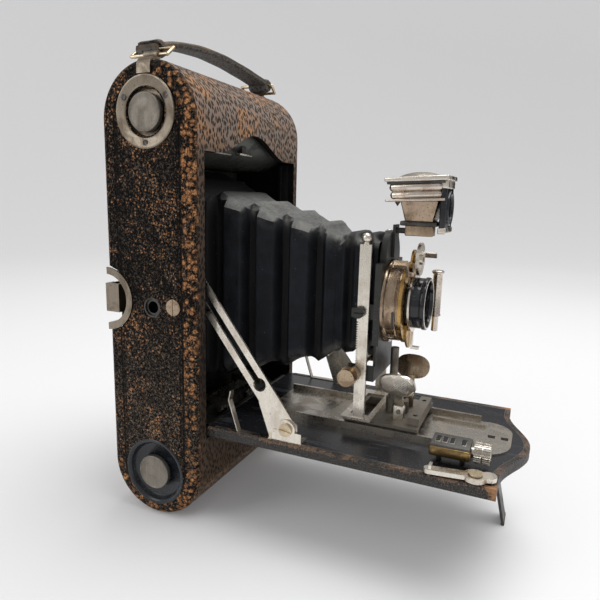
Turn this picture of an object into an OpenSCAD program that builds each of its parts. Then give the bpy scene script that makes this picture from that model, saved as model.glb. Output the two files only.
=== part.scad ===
// Folding roll-film camera, postcard format, bed down and front drawn out.
// Axes: X across the body, Y along the lens axis (the lens looks along -Y), Z up.
// Every place below is in the case frame: y = 0 at the middle of the case's depth,
// z = 0 at the lowest point of its round lower end. in_frame() moves it to the part's origin.

/* [Case] */
// Width of the case across the two side faces
body_w = 121; // [120:0.5:122]
// Height of the case over its two round ends
body_h = 240; // [239:0.5:241]
// Depth of the case from front leather to back leather
body_d = 57; // [56.5:0.5:57.5]
// Thickness of the leather covering
leather_t = 1; // [0.8:0.1:1.2]
// Thickness of the case wall under the leather
wall_t = 3; // [2.8:0.1:3.2]
// Rounding of the long edges of the case
edge_r = 4; // [3.5:0.5:4.5]
// Depth at which the lift-off back begins, from the middle of the case
back_seam_y = 24.5; // [24:0.5:25]

/* [Opening and bed] */
// Half the width of the front opening
open_half = 52.5; // [52:0.5:53]
// Height of the opening's lower edge
open_low_z = 47; // [46.5:0.5:47.5]
// Height of the opening's lip at its two ends
lip_z = 197; // [196:0.5:198]
// Rise of the wave in the lip
wave_rise = 12; // [11:0.5:13]
// Half the width of the wave
wave_half = 40; // [38:1:42]
// Height of the bed's inner face
bed_top_z = 54; // [53.5:0.5:54.5]
// Distance from the front face to the bed's front corners
bed_len = 147; // [146:1:148]
// Thickness of the bed with its leather
bed_t = 5; // [4.5:0.5:5.5]

/* [Standard] */
// Distance of the columns' rear edge in front of the case's middle
column_y = 100; // [99.5:0.5:100.5]
// Half the distance between the columns' inner faces
column_half = 20; // [19.8:0.1:20.2]
// Height of the lens axis
lens_z = 122.5; // [122:0.5:123]
// Radius of the shutter case
shutter_r = 21; // [20.5:0.5:21.5]
// Radius of the lens barrel
barrel_r = 13.3; // [13:0.1:13.5]
// Travel of the rising front
rise_travel = 15; // [12:1:15]
// Module of the rack and pinion teeth
tooth_m = 0.4; // [0.4:0.1:0.4]

/* [Film] */
// Width of one picture
picture_w = 82.5; // [80:0.5:84]
// Height of one picture
picture_h = 139.5; // [138:0.5:140]
// Distance of both spool axes from the ends of the case
spool_z = 25.2; // [25:0.1:25.5]
// Radius of the spool flanges
flange_r = 12.5; // [12:0.5:13]

/* [Hidden] */

$fn = 48;
cut = 1;                    // overshoot of every cutter
run_gap = 0.05;             // radial clearance of a pin in its hole
air_gap = 0.5;              // gap between pieces that move past each other
body_r = body_d / 2;
half_w = body_w / 2;
front_y = -body_r;
bed_half = open_half - air_gap;
corner_y = front_y - bed_len;
latch_depth = 31.4;         // rear face of the back latch
frame_y = (body_r + bed_len + wave_rise - latch_depth) / 2;
top_axis_z = body_h - spool_z;
key_x = half_w + 0.6;

module in_frame() { translate([0, frame_y, 0]) children(); }

// ---- helpers: a flat outline drawn along one axis, between two planes
module along_x(x0, x1) {
    translate([x0, 0, 0]) rotate([90, 0, 90]) linear_extrude(height = x1 - x0) children();
}
module along_y(y0, y1) {
    translate([0, y1, 0]) rotate([90, 0, 0]) linear_extrude(height = y1 - y0) children();
}
module along_z(z0, z1) { translate([0, 0, z0]) linear_extrude(height = z1 - z0) children(); }
module block(x0, x1, y0, y1, z0, z1) {
    translate([x0, y0, z0]) cube([x1 - x0, y1 - y0, z1 - z0]);
}
module rod_x(x0, x1, y, z, r) {
    translate([x0, y, z]) rotate([0, 90, 0]) cylinder(r = r, h = x1 - x0);
}
module rod_y(y0, y1, x, z, r) {
    translate([x, y1, z]) rotate([90, 0, 0]) cylinder(r = r, h = y1 - y0);
}
module rod_z(z0, z1, x, y, r) {
    translate([x, y, z0]) cylinder(r = r, h = z1 - z0);
}
module both_sides() {
    children();
    mirror([1, 0, 0]) children();
}
// outline of a straight bar w wide between two points
module bar(a, b, w) {
    d = b - a;
    translate(a) rotate(atan2(d[1], d[0])) translate([0, -w / 2]) square([norm(d), w]);
}
module disc(p, r) { translate(p) circle(r = r); }

// ---- case: stadium seen from the side, with rounded long edges
module stadium(inset = 0) {
    r = body_r - inset;
    for (z = [body_r, body_h - body_r]) translate([0, z]) circle(r = r);
    translate([-r, body_r]) square([2 * r, body_h - body_d]);
}
module end_profile(w, r, e) {
    translate([0, -w / 2]) square([r - e, w]);
    translate([0, -w / 2 + e]) square([r, w - 2 * e]);
    for (s = [-1, 1]) translate([r - e, s * (w / 2 - e)]) circle(r = e);
}
module case_solid(inset = 0) {
    w = body_w - 2 * inset;
    r = body_r - inset;
    e = edge_r - inset;
    for (end = [[body_r, -90], [body_h - body_r, 90]])
        translate([0, 0, end[0]]) rotate([end[1], 0, 0]) rotate([0, 90, 0])
            rotate_extrude(angle = 180) end_profile(w, r, e);
    along_z(body_r, body_h - body_r) {
        square([w, 2 * (r - e)], center = true);
        square([w - 2 * e, 2 * r], center = true);
        for (x = [-1, 1], y = [-1, 1]) translate([x * (w / 2 - e), y * (r - e)]) circle(r = e);
    }
}
// height of the lip, and the bed's matching front edge
function wave(x) = abs(x) < wave_half ? wave_rise * (1 + cos(180 * x / wave_half)) / 2 : 0;
module opening_outline(grow = 0) {
    polygon(concat([[-open_half - grow, open_low_z - grow], [open_half + grow, open_low_z - grow],
                    [open_half + grow, lip_z + grow]],
                   [for (x = [wave_half : -2 : -wave_half]) [x, lip_z + grow + wave(x)]],
                   [[-open_half - grow, lip_z + grow]]));
}
module bed_outline(inset = 0) {
    polygon(concat([[-bed_half + inset, front_y - air_gap], [-bed_half + inset, corner_y + inset]],
                   [for (x = [-wave_half : 2 : wave_half]) [x, corner_y + inset - wave(x)]],
                   [[bed_half - inset, corner_y + inset], [bed_half - inset, front_y - air_gap]]));
}
// the half-round finger notch in the rear edge of the near side
notch_z = 119.8;
notch_r = 13.3;
ring_r = 17;
module notch(r) { rod_x(-half_w - cut, -half_w + 10.5, body_r, notch_z, r); }

// holes of the near side: tripod bush, spool knobs
bush_y = -0.8;
bush_z = 117.5;
bush_r = 5.4;
recess_r = 11.6;            // hole of the ring plate round the upper knob
cup_r = 17;
module side_holes() {
    rod_x(-half_w - cut, -half_w + 8, bush_y, bush_z, bush_r);
    rod_x(-half_w - cut, -half_w + 8, 0, top_axis_z, recess_r);
    rod_x(-half_w - cut, -half_w + 8, 0, spool_z, cup_r);
    rod_x(half_w - 8, half_w + cut, 0, top_axis_z, recess_r);
    both_sides() {
        rod_x(-half_w - cut, -half_w + 3.1, side_screw_y, side_screw_z, side_screw_r + run_gap);
        plate_screws() rod_x(-half_w - cut, -half_w + 3.1, 0, 0, plate_screw_r + run_gap);
    }
}
// places of the three screws round each upper plate
module plate_screws() {
    for (a = [-90, 30, 150])
        translate([0, screw_ring_r * cos(a), top_axis_z + screw_ring_r * sin(a)]) children();
}
module behind_seam(gap = 0) { block(-80, 80, back_seam_y + gap, 60, -20, body_h + 20); }

module body_shell() {
    color("dimgray") in_frame() difference() {
        case_solid(leather_t);
        along_x(-half_w + leather_t + wall_t, half_w - leather_t - wall_t) stadium(leather_t + wall_t);
        behind_seam();
        along_y(-body_r - cut, -body_r + 8) opening_outline();
        notch(ring_r + 0.4);
        side_holes();
        // pocket for the hinge's case leaves
        block(-hinge_half, hinge_half, hinge_y, hinge_y + 2, open_low_z - 4, open_low_z + cut);
    }
}
module body_leather() {
    color([0.13, 0.11, 0.1]) in_frame() difference() {
        case_solid();
        case_solid(leather_t);
        behind_seam();
        along_y(-body_r - cut, -body_r + 8) opening_outline();
        notch(ring_r + 0.4);
        side_holes();
    }
}

// curved sheets that close the spool chambers towards the bellows
chamber_r = 23.2;
sheet_t = 0.8;
module chamber_sheet() {
    along_x(-half_w + leather_t + wall_t + 0.2, half_w - leather_t - wall_t - 0.2) {
        difference() {
            translate([0, top_axis_z]) circle(r = chamber_r);
            translate([0, top_axis_z]) circle(r = chamber_r - sheet_t);
            translate([0, top_axis_z - 40]) square([60, 90]);
            translate([-60, top_axis_z + 2]) square([70, 60]);
        }
        translate([0, top_axis_z - chamber_r]) square([16.3, sheet_t]);
    }
}
module upper_chamber_wall() {
    color([0.3, 0.29, 0.26]) in_frame() {
        chamber_sheet();
        // catch that holds the closed bed, riveted to the sheet
        block(-3.5, 3.5, -21.6, -18.4, 199.4, 200.6);
        block(-2.2, 2.2, -20.8, -19.4, 200.4, 203.5);
    }
}
module lower_chamber_wall() {
    color([0.3, 0.29, 0.26]) in_frame() translate([0, 0, body_h]) mirror([0, 0, 1]) difference() {
        chamber_sheet();
        // stays behind the rails that run into the case
        block(-60, 60, -60, -19, 180, 215.5);
    }
}

// frame behind the bellows, with the picture window and the rollers' ears
gate_y = 16.8;
gate_t = 1.8;
roller_y = 18.4;
roller_z = 44.5;            // distance of each roller axis from its end of the case
ear_x = 47.5;
gate_low_z = 49;
mid_z = body_h / 2;
// the lower pair of ears that carry a roller's ends
module film_ears() {
    for (x = [-ear_x - 1, ear_x + 1]) difference() {
        block(x - 1, x + 1, gate_y - 0.4, gate_y + 4.6, roller_z - 3, gate_low_z + 1);
        rod_x(x - 2, x + 2, roller_y, roller_z, 1.2 + run_gap);
    }
}
module film_gate() {
    color([0.16, 0.16, 0.17]) in_frame() {
        along_y(gate_y, gate_y + gate_t) difference() {
            translate([-56, gate_low_z]) square([112, body_h - 2 * gate_low_z]);
            translate([-picture_w / 2, mid_z - picture_h / 2]) square([picture_w, picture_h]);
            // clear of the finger notch's lining
            translate([-60, notch_z - 13]) square([9.8, 26]);
        }
        film_ears();
        translate([0, 0, body_h]) mirror([0, 0, 1]) film_ears();
    }
}
module roller(z) {
    rod_x(-ear_x + 0.6, ear_x - 0.6, roller_y, z, 2.6);
    rod_x(-ear_x - 2.4, ear_x + 2.4, roller_y, z, 1.2);
}
module upper_roller() { color("silver") in_frame() roller(body_h - roller_z); }
module lower_roller() { color("silver") in_frame() roller(roller_z); }

// tripod socket in the near side
socket_r = 3.175;           // quarter-inch tripod thread
socket_len = 9;
module tripod_bush() {
    color([0.35, 0.33, 0.3]) in_frame() difference() {
        union() {
            rod_x(-half_w + 0.3, -half_w + socket_len + 2, bush_y, bush_z, bush_r - 0.1);
            rod_x(-half_w + leather_t + wall_t + 0.1, -half_w + 8, bush_y, bush_z, bush_r + 3);
        }
        rod_x(-half_w - cut, -half_w + socket_len + 0.3, bush_y, bush_z, socket_r);
        // dished mouth
        rod_x(-half_w, -half_w + 1.3, bush_y, bush_z, bush_r - 1);
    }
}
module slotted_head(y, z, r, turn) {
    difference() {
        rod_x(-half_w - 0.3, -half_w + 3, y, z, r);
        translate([-half_w - 0.5, y, z]) rotate([turn, 0, 0]) block(0, 0.9, -r - cut, r + cut, -0.4, 0.4);
    }
}
side_screw_y = -14.3;
side_screw_z = 118.9;
side_screw_r = 4.3;
plate_screw_r = 1.6;

// trim of the spool knobs on the near side, and of the key on the far side
plate_r = 17.7;
plate_t = 0.8;
screw_ring_r = 14.6;
module ring_disc(hole_r) {
    difference() {
        rod_x(-half_w - plate_t, -half_w, 0, top_axis_z, plate_r);
        rod_x(-half_w - 2, -half_w + 2, 0, top_axis_z, hole_r);
        translate([-half_w - plate_t - 0.01, 0, top_axis_z]) rotate([0, 90, 0])
            cylinder(r1 = hole_r + 1.6, r2 = hole_r, h = plate_t);
        plate_screws() rod_x(-half_w - 2, -half_w + 2, 0, 0, plate_screw_r + 0.1);
    }
}
module ring_plate() {
    color([0.62, 0.6, 0.55]) in_frame() {
        ring_disc(recess_r);
        mirror([1, 0, 0]) ring_disc(recess_r);
        // cup under the upper knob
        difference() {
            rod_x(-half_w, -half_w + leather_t + wall_t, 0, top_axis_z, recess_r - 0.1);
            rod_x(-half_w - cut, -half_w + 3, 0, top_axis_z, recess_r - 1);
            rod_x(-half_w - cut, -half_w + 8, 0, top_axis_z, pin_r + 0.4);
        }
    }
}
module lower_cup() {
    color([0.2, 0.22, 0.26]) in_frame() difference() {
        union() {
            rod_x(-half_w - 0.5, -half_w, 0, spool_z, cup_r + 1.9);
            rod_x(-half_w, -half_w + leather_t + wall_t, 0, spool_z, cup_r - 0.1);
        }
        rod_x(-half_w - cut, -half_w + 3, 0, spool_z, cup_r - 1);
        rod_x(-half_w - cut, -half_w + 8, 0, spool_z, pin_r + 0.4);
    }
}
module case_screws() {
    color([0.66, 0.6, 0.48]) in_frame() both_sides()
        slotted_head(side_screw_y, side_screw_z, side_screw_r, 90);
    color([0.3, 0.27, 0.23]) in_frame() both_sides()
        plate_screws() difference() {
            rod_x(-half_w - 0.5, -half_w + 3, 0, 0, plate_screw_r);
            rotate([40, 0, 0]) block(-half_w - 2, -half_w - 0.1, -2, 2, -0.2, 0.2);
        }
}

// lining of the finger notch
module latch_ring() {
    color([0.6, 0.57, 0.5]) in_frame() difference() {
        union() {
            rod_x(-half_w - 0.7, -half_w, body_r, notch_z, ring_r);
            rod_x(-half_w, -half_w + 9.8, body_r, notch_z, notch_r + 1);
        }
        rod_x(-half_w - 2, -half_w + 12, body_r, notch_z, notch_r);
        block(-80, -40, body_r - 0.6, 60, 90, 150);
    }
}

// ---- lift-off back with its window and latch
window_z = 93;
module back_cut() {
    notch(ring_r + 0.7);
    rod_y(10, 40, 0, window_z, 8);
}
module back_cover() {
    color("dimgray") in_frame() difference() {
        union() {
            intersection() {
                case_solid(leather_t);
                behind_seam(0.3);
            }
            // light-trap rim that sits inside the case
            difference() {
                block(-56.2, 56.2, back_seam_y - 2.6, back_seam_y + 1, 30, body_h - 30);
                block(-54.6, 54.6, back_seam_y - 4, back_seam_y + 0.3, 31.6, body_h - 31.6);
            }
        }
        back_cut();
    }
}
module back_leather() {
    color([0.13, 0.11, 0.1]) in_frame() difference() {
        case_solid();
        case_solid(leather_t);
        block(-80, 80, -60, back_seam_y + 0.3, -20, body_h + 20);
        back_cut();
    }
}
module window_ring() {
    color([0.4, 0.38, 0.34]) in_frame() difference() {
        union() {
            rod_y(back_seam_y + 0.3, body_r + 0.5, 0, window_z, 7.9);
            rod_y(body_r, body_r + 0.9, 0, window_z, 10);
        }
        rod_y(10, 40, 0, window_z, 5.5);
        rod_y(back_seam_y - cut, back_seam_y + 2, 0, window_z, 6.6);
    }
}
module red_window() {
    color([0.5, 0.05, 0.04, 0.6]) in_frame() rod_y(back_seam_y + 0.6, back_seam_y + 2, 0, window_z, 6.5);
}
latch_half = 7.75;
module back_latch() {
    color([0.6, 0.57, 0.5]) in_frame() {
        block(-58.5, -44, body_r + air_gap, body_r + 1.7, notch_z - latch_half, notch_z + latch_half);
        difference() {
            block(-58.5, -52.5, 22.6, latch_depth, notch_z - latch_half, notch_z + latch_half);
            block(-57.3, -52, 24, latch_depth - 1.3,
                  notch_z - latch_half - cut, notch_z + latch_half + cut);
        }
    }
}

// ---- film transport
knob_r = 9.5;
pin_r = 2.2;                // pins that carry the spools, in bores of bore_r
bore_r = 3.4;
module pull_knob(z) {
    difference() {
        rod_x(-half_w - 1.4, -half_w + 1.6, 0, z, knob_r);
        rod_x(-half_w - 2, -half_w - 1, 0, z, knob_r - 0.9);
    }
    rod_x(-half_w + 1.5, -43, 0, z, pin_r);
}
module upper_knob() { color([0.62, 0.61, 0.58]) in_frame() pull_knob(top_axis_z); }
module lower_knob() { color([0.25, 0.25, 0.27]) in_frame() pull_knob(spool_z); }
spool_half = 45;
module spool(z, bore_ends) {
    difference() {
        union() {
            rod_x(-spool_half, spool_half, 0, z, 5);
            both_sides() rod_x(-spool_half, -spool_half + 1, 0, z, flange_r);
        }
        rod_x(-spool_half - cut, -spool_half + 6, 0, z, bore_r);
        if (bore_ends == 2) rod_x(spool_half - 6, spool_half + cut, 0, z, bore_r);
        if (bore_ends == 1) block(spool_half - 6, spool_half + cut, -3.1, 3.1, z - 1.2, z + 1.2);
    }
}
module take_up_spool() { color([0.3, 0.2, 0.12]) in_frame() spool(top_axis_z, 1); }
module supply_spool() { color([0.3, 0.2, 0.12]) in_frame() spool(spool_z, 2); }
module key_bush() {
    color([0.5, 0.48, 0.43]) in_frame() {
        difference() {
            rod_x(half_w - leather_t - wall_t, half_w, 0, top_axis_z, recess_r - 0.1);
            rod_x(half_w - 8, half_w + cut, 0, top_axis_z, 4 + run_gap);
            rod_x(half_w - 1, half_w + cut, 0, top_axis_z, recess_r - 1);
        }
        // stud that carries the far end of the supply spool
        rod_x(spool_half - 4, half_w - leather_t - wall_t, 0, spool_z, pin_r);
    }
}
module winding_key() {
    color([0.62, 0.6, 0.55]) in_frame() difference() {
        union() {
            rod_x(half_w - 7, key_x, 0, top_axis_z, 4);
            block(spool_half - 5, half_w - 6.5, -2.8, 2.8, top_axis_z - 0.9, top_axis_z + 0.9);
            rod_x(half_w - 0.6, key_x, 0, top_axis_z, 6);
            block(half_w, key_x + 3, 0.4, 3, top_axis_z - 4.2, top_axis_z - 2.9);
            block(half_w, key_x + 3, 0.4, 3, top_axis_z + 2.9, top_axis_z + 4.2);
        }
        rod_z(top_axis_z - 6, top_axis_z + 6, key_x + 1.7, 1.7, 0.8 + run_gap);
    }
}
module key_handle() {
    color([0.62, 0.6, 0.55]) in_frame() {
        rod_z(top_axis_z - 4.5, top_axis_z + 4.5, key_x + 1.7, 1.7, 0.8);
        rod_z(top_axis_z - 2.6, top_axis_z + 2.6, key_x + 1.7, 1.7, 1.2);
        along_x(key_x + 0.9, key_x + 2.5) difference() {
            union() {
                translate([-5, top_axis_z - 2.6]) square([6.7, 5.2]);
                translate([-8.5, top_axis_z]) circle(r = 6.6);
            }
            translate([-9, top_axis_z]) circle(r = 3);
        }
    }
}

// ---- carrying strap
strap_rise = 6;
strap_skew = 0.35;           // leans the top of the arch towards the near end
strap_z = 246;
strap_turn = -5;
strap_w = 14;
strap_t = 3;
roll_z = 246;               // axis of the rolled end, round the wire
roll_r = 3.7;
strap_half = 49.4;
function arch(u) = (1 - u * u) * (1 - strap_skew * u);
function strap_height(x) = strap_z + strap_rise * arch(x / strap_half);
module strap() {
    color([0.2, 0.17, 0.12]) in_frame() rotate([0, 0, strap_turn]) {
        difference() {
            union() {
                along_y(-strap_w / 2, strap_w / 2) polygon(concat(
                    [for (x = [-strap_half : 5 : strap_half]) [x, strap_height(x) + strap_t / 2]],
                    [for (x = [strap_half : -5 : -strap_half]) [x, strap_height(x) - strap_t / 2]]));
                both_sides() rod_y(-strap_w / 2, strap_w / 2, strap_half, roll_z, roll_r);
            }
            both_sides() rod_y(-strap_w, strap_w, strap_half, roll_z, loop_r + 0.9);
        }
    }
}
bracket_half = 4;
loop_r = 0.9;
// strip that rises from the ring plate, follows the case's rounded edge and ends in a curl
curl_x = -half_w + 6.5;
curl_r = 2;
curl_z = body_h + curl_r + 0.15;
strip_t = 0.8;
function edge_arc(r) = [for (a = [180 : -15 : 90])
    [-half_w + edge_r + r * cos(a), body_h - edge_r + r * sin(a)]];
module strap_brackets() {
    foot_z0 = top_axis_z + plate_r + 0.1;
    color([0.62, 0.6, 0.55]) in_frame() both_sides() {
        rotate([90, 0, 0]) translate([0, 0, -bracket_half]) linear_extrude(height = 2 * bracket_half)
            polygon(concat([[-half_w - strip_t, foot_z0]], edge_arc(edge_r + strip_t),
                           [[curl_x + 0.5, body_h + strip_t], [curl_x + 0.5, body_h + 0.05]],
                           [for (i = [6 : -1 : 0]) edge_arc(edge_r + 0.05)[i]],
                           [[-half_w - 0.05, foot_z0]]));
        difference() {
            rod_y(-bracket_half, bracket_half, curl_x, curl_z, curl_r);
            rod_y(-bracket_half - 1, bracket_half + 1, curl_x, curl_z, loop_r + 0.2);
        }
    }
}
// wire loops between the brackets and the strap's ends; each reaches further on the side
// to which the strap leans
loop_front = -9;
loop_rear = 12.8;
module strap_loops() {
    low = [curl_x, curl_z];
    high = [-strap_half * cos(strap_turn), roll_z];
    rise = high - low;
    color([0.6, 0.52, 0.38]) in_frame() for (turn = [0, 180]) rotate([0, 0, turn]) {
        for (y = [loop_front, loop_rear]) {
            translate([low[0], y, low[1]]) rotate([0, atan2(rise[0], rise[1]), 0])
                cylinder(r = loop_r, h = norm(rise));
            translate([low[0], y, low[1]]) sphere(r = loop_r);
            translate([high[0], y, high[1]]) sphere(r = loop_r);
        }
        rod_y(loop_front, loop_rear, low[0], low[1], loop_r);
        rod_y(loop_front, loop_rear, high[0], high[1], loop_r);
    }
}

// ---- bed with its hinge and foot
bed_low_z = bed_top_z - bed_t;
module bed_plate() {
    color([0.1, 0.11, 0.14]) in_frame() difference() {
        along_z(bed_low_z + leather_t, bed_top_z) bed_outline(leather_t);
        // slot for the hinge's bed leaves
        block(-hinge_half, hinge_half, front_y - 4, front_y + cut, hinge_z - 0.6, hinge_z + 0.6);
    }
}
module bed_leather() {
    color([0.2, 0.14, 0.1]) in_frame() difference() {
        along_z(bed_low_z, bed_top_z) bed_outline();
        along_z(bed_low_z + leather_t, bed_top_z + cut) bed_outline(leather_t);
    }
}
hinge_y = front_y + 2.6;
hinge_z = 51;
hinge_half = 48;
module hinge_leaves() {
    leaf = 2 * hinge_half / 6;
    color([0.4, 0.38, 0.34]) in_frame() difference() {
        for (i = [0 : 5]) {
            x0 = -hinge_half + i * leaf + 0.2;
            x1 = x0 + leaf - 0.4;
            rod_x(x0, x1, hinge_y, hinge_z, 2.2);
            if (i % 2 == 0) block(x0, x1, front_y - 4, hinge_y, hinge_z - 0.6, hinge_z + 0.6);
            else block(x0, x1, hinge_y, hinge_y + 2, open_low_z - 4, hinge_z);
        }
        rod_x(-hinge_half - cut, hinge_half + cut, hinge_y, hinge_z, 1.2 + run_gap);
    }
}
module hinge_pin() {
    color("silver") in_frame() rod_x(-hinge_half, hinge_half, hinge_y, hinge_z, 1.2);
}

foot_y = -168;
foot_z = 45.8;
foot_tip_y = -178;
foot_x = 19;                // the foot hangs to the far side of the bed's middle
foot_half = 6;
module foot() {
    toe_r = 1;
    color([0.5, 0.5, 0.5]) in_frame() along_x(foot_x - foot_half, foot_x + foot_half) difference() {
        union() {
            bar([foot_y, foot_z], [foot_tip_y, toe_r], 1.4);
            disc([foot_y, foot_z], 2.2);
            disc([foot_tip_y, toe_r], toe_r);
        }
        disc([foot_y, foot_z], 1 + run_gap);
    }
}
module foot_pin() {
    color("silver") in_frame() translate([foot_x, 0, 0]) {
        rod_x(-foot_half - 2, foot_half + 2, foot_y, foot_z, 1);
        both_sides() difference() {
            block(foot_half + 0.3, foot_half + 1.5, foot_y - 3, foot_y + 3, foot_z - 2.4, bed_low_z);
            rod_x(0, 20, foot_y, foot_z, 1);
        }
    }
}

// ---- track on the bed, and the rails that carry on into the case
track_near = -20.5;
track_far = 22.5;
track_front_y = -178.5;
track_rear_y = -46;
rail_z = bed_top_z + 4;
floor_z = bed_top_z + 0.8;
module track() {
    color([0.62, 0.6, 0.55]) in_frame() {
        along_z(bed_top_z, floor_z) difference() {
            union() {
                translate([track_near, track_front_y + 16])
                    square([track_far - track_near, track_rear_y - track_front_y - 16]);
                translate([-4.5, track_front_y + 16]) circle(r = 16);
                translate([-4.5, track_front_y]) square([track_far - 12 + 4.5, 17]);
                translate([track_far - 12, track_front_y + 12]) circle(r = 12);
            }
            for (y = [-168.5, -175]) translate([3, y]) square([3.6, 3.6], center = true);
        }
        for (x = [track_near, track_far - 1.6])
            block(x, x + 1.6, track_front_y + 17, track_rear_y, bed_top_z, rail_z);
        block(13, 14.2, track_front_y + 14, -136, bed_top_z, floor_z + 1.6);
        for (x = [track_near, track_far - 1.6]) block(x, x + 1.6, -22, 0, bed_top_z, rail_z);
        for (y = [-18, -5]) block(track_near, track_far, y, y + 3, bed_top_z - 5.6, floor_z);
    }
}

// ---- struts that hold the bed square to the case
strut_x = 49.6;
strut_t = 1.2;
strut_low = [-74.5, 61];
strut_high = [-21, 131];
strut_dir = (strut_high - strut_low) / norm(strut_high - strut_low);
keyhole_at = 26;            // distance of the keyhole from the lower screw
module struts() {
    key_a = strut_low + strut_dir * keyhole_at;
    color([0.72, 0.68, 0.6]) in_frame() both_sides() along_x(-strut_x, -strut_x + strut_t) difference() {
        union() {
            bar(strut_low, strut_high, 10.6);
            for (p = [strut_low, strut_high]) disc(p, 5.8);
        }
        // long slot with a keyhole near its lower end
        bar(key_a, strut_high, 3.4);
        disc(strut_high, 1.8);
        disc(key_a, 3.6);
        disc(strut_low, 1.6);
    }
}
module strut_brackets() {
    color([0.66, 0.62, 0.54]) in_frame() both_sides() {
        difference() {
            union() {
                block(-strut_x - 1.4, -strut_x - 0.2, -83, -67, bed_top_z, 60);
                rod_x(-strut_x - 1.4, -strut_x - 0.2, strut_low[0], strut_low[1], 5);
            }
            rod_x(-strut_x - 3, -strut_x + 1, strut_low[0], strut_low[1], 1.6);
        }
        block(-strut_x - 1.4, -strut_x + 7, -83, -67, bed_top_z, bed_top_z + 1);
        // side cheek that steers the strut into place
        along_x(-strut_x + 1.6, -strut_x + 2.8)
            polygon([[-80, bed_top_z], [-64, bed_top_z], [-57.5, 72], [-62, 72]]);
        // stud in the case that runs in the slot
        rod_x(-half_w + leather_t + wall_t, -strut_x + 2, strut_high[0], strut_high[1], 1.6);
        rod_x(-strut_x + strut_t + 0.2, -strut_x + 2.6, strut_high[0], strut_high[1], 3.1);
    }
}
module strut_screw() {
    difference() {
        union() {
            rod_x(-strut_x - 2.6, -strut_x - 1.4, strut_low[0], strut_low[1], 3.4);
            rod_x(-strut_x - 2, -strut_x + strut_t + 0.2, strut_low[0], strut_low[1], 1.5);
        }
        translate([0, strut_low[0], strut_low[1]]) rotate([8, 0, 0])
            block(-strut_x - 4, -strut_x - 2.1, -4, 4, -0.4, 0.4);
    }
}
module bed_screws() {
    color([0.7, 0.66, 0.58]) in_frame() {
        both_sides() strut_screw();
        lever_screw();
    }
}
module strut_springs() {
    color([0.5, 0.47, 0.4]) in_frame() both_sides() {
        block(-strut_x - 1.6, -strut_x + 1.6, -66.5, -47, bed_top_z, bed_top_z + 0.5);
        along_x(-strut_x - 1.6, -strut_x + 1.6) {
            bar([-47, bed_top_z + 0.1], [-41.4, 71], 0.6);
            bar([-41.5, 70.8], [-42.6, 76], 0.6);
        }
    }
}

// ---- focusing lever and distance scale on the bed
lever_pivot = [-48.2, -166];
lever_z = 55.4;
lever_t = 2;
module focus_lever() {
    color([0.66, 0.62, 0.54]) in_frame() difference() {
        union() {
            along_z(lever_z, lever_z + lever_t) {
                translate(lever_pivot) circle(r = 5.2);
                translate(lever_pivot) rotate(97) translate([0, -2.4]) square([20, 4.8]);
                translate(lever_pivot) rotate(97) translate([20, 0]) circle(r = 2.4);
                translate(lever_pivot) rotate(-70) translate([6, 0]) circle(r = 3.4);
            }
            translate([lever_pivot[0] - 2.4, lever_pivot[1] + 19.6, lever_z]) block(-2, 2, -1, 0.4, 0, 4);
        }
        rod_z(lever_z - cut, lever_z + 9, lever_pivot[0], lever_pivot[1], 1.6 + run_gap);
    }
}
// post and slotted head on which the lever turns
module lever_screw() {
    top = lever_z + lever_t + 0.3;
    translate([lever_pivot[0], lever_pivot[1], 0]) {
        rod_z(bed_top_z, lever_z - 0.3, 0, 0, 3.4);
        rod_z(bed_top_z, top + 0.2, 0, 0, 1.6);
        difference() {
            rod_z(top, top + 0.8, 0, 0, 3.2);
            block(-4, 4, -0.4, 0.4, top + 0.4, top + 2);
        }
    }
}
box_x = -32.5;
box_rear = -143.5;
box_front = -162.5;
drum_z = 60.6;
module scale_box() {
    color([0.55, 0.5, 0.4]) in_frame() difference() {
        union() {
            block(box_x - 7.5, box_x + 7.5, box_front, box_rear, 57.4, 64.4);
            for (y = [box_front + 3, box_rear - 5]) block(box_x - 3, box_x + 3, y, y + 2, bed_top_z, 57.6);
        }
        rod_y(box_front - cut, box_rear - 1, box_x, drum_z, 3.1);
        // reading windows, the last one set apart
        for (d = [2.4, 5.6, 8.9, 14.2])
            block(box_x - 2.6, box_x + 2.6, box_rear - d - 1.9, box_rear - d, drum_z, 70);
    }
}
module scale_wheel() {
    ribs = 24;
    color([0.7, 0.67, 0.58]) in_frame() {
        difference() {
            rod_y(box_front - 8.3, box_front - 1, box_x, drum_z, 4.9);
            for (i = [0 : ribs - 1]) translate([box_x, 0, drum_z]) rotate([0, i * 360 / ribs, 0])
                block(4.4, 6, box_front - 10, box_front, -0.22, 0.22);
            rod_y(box_front - 5.1, box_front - 4.4, box_x, drum_z, 6);
        }
        rod_y(box_front - 4.5, box_front - 4.3, box_x, drum_z, 4.3);
        rod_y(box_front - 9, box_rear - 1.6, box_x, drum_z, 2.6);
    }
}

// ---- carriage that runs on the track
plate_z = rail_z + 1.3;
carriage_rear = -94;
carriage_front = -134;
grip_y = -122;
grip_z = 65.5;
module carriage() {
    color([0.62, 0.59, 0.52]) in_frame() difference() {
        union() {
            along_z(plate_z, plate_z + 1.6) difference() {
                translate([track_near, carriage_front])
                    square([track_far - track_near, carriage_rear - carriage_front]);
                translate([-13, -110]) square([28, 11]);
            }
            for (x = [track_near + 2.4, track_far - 4.4])
                block(x, x + 2, carriage_front, carriage_rear, floor_z + 0.6, plate_z);
            // raised front table and its posts
            block(track_near + 4, track_far - 4, carriage_front, grip_y - 6, plate_z, 65);
            block(-2, 2, grip_y - 2.5, grip_y + 2.5, plate_z, grip_z + 2.2);
            // rod on which the two grips slide
            rod_x(-13, 13, grip_y, grip_z, 1.2);
            rod_z(plate_z, 97, 0, -115.5, 2.2);
            rod_z(plate_z, 69, 0, -115.5, 3.4);
        }
        for (x = [-12, 12]) rod_z(50, 80, x, carriage_front + 3, 1.2);
    }
}
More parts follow.
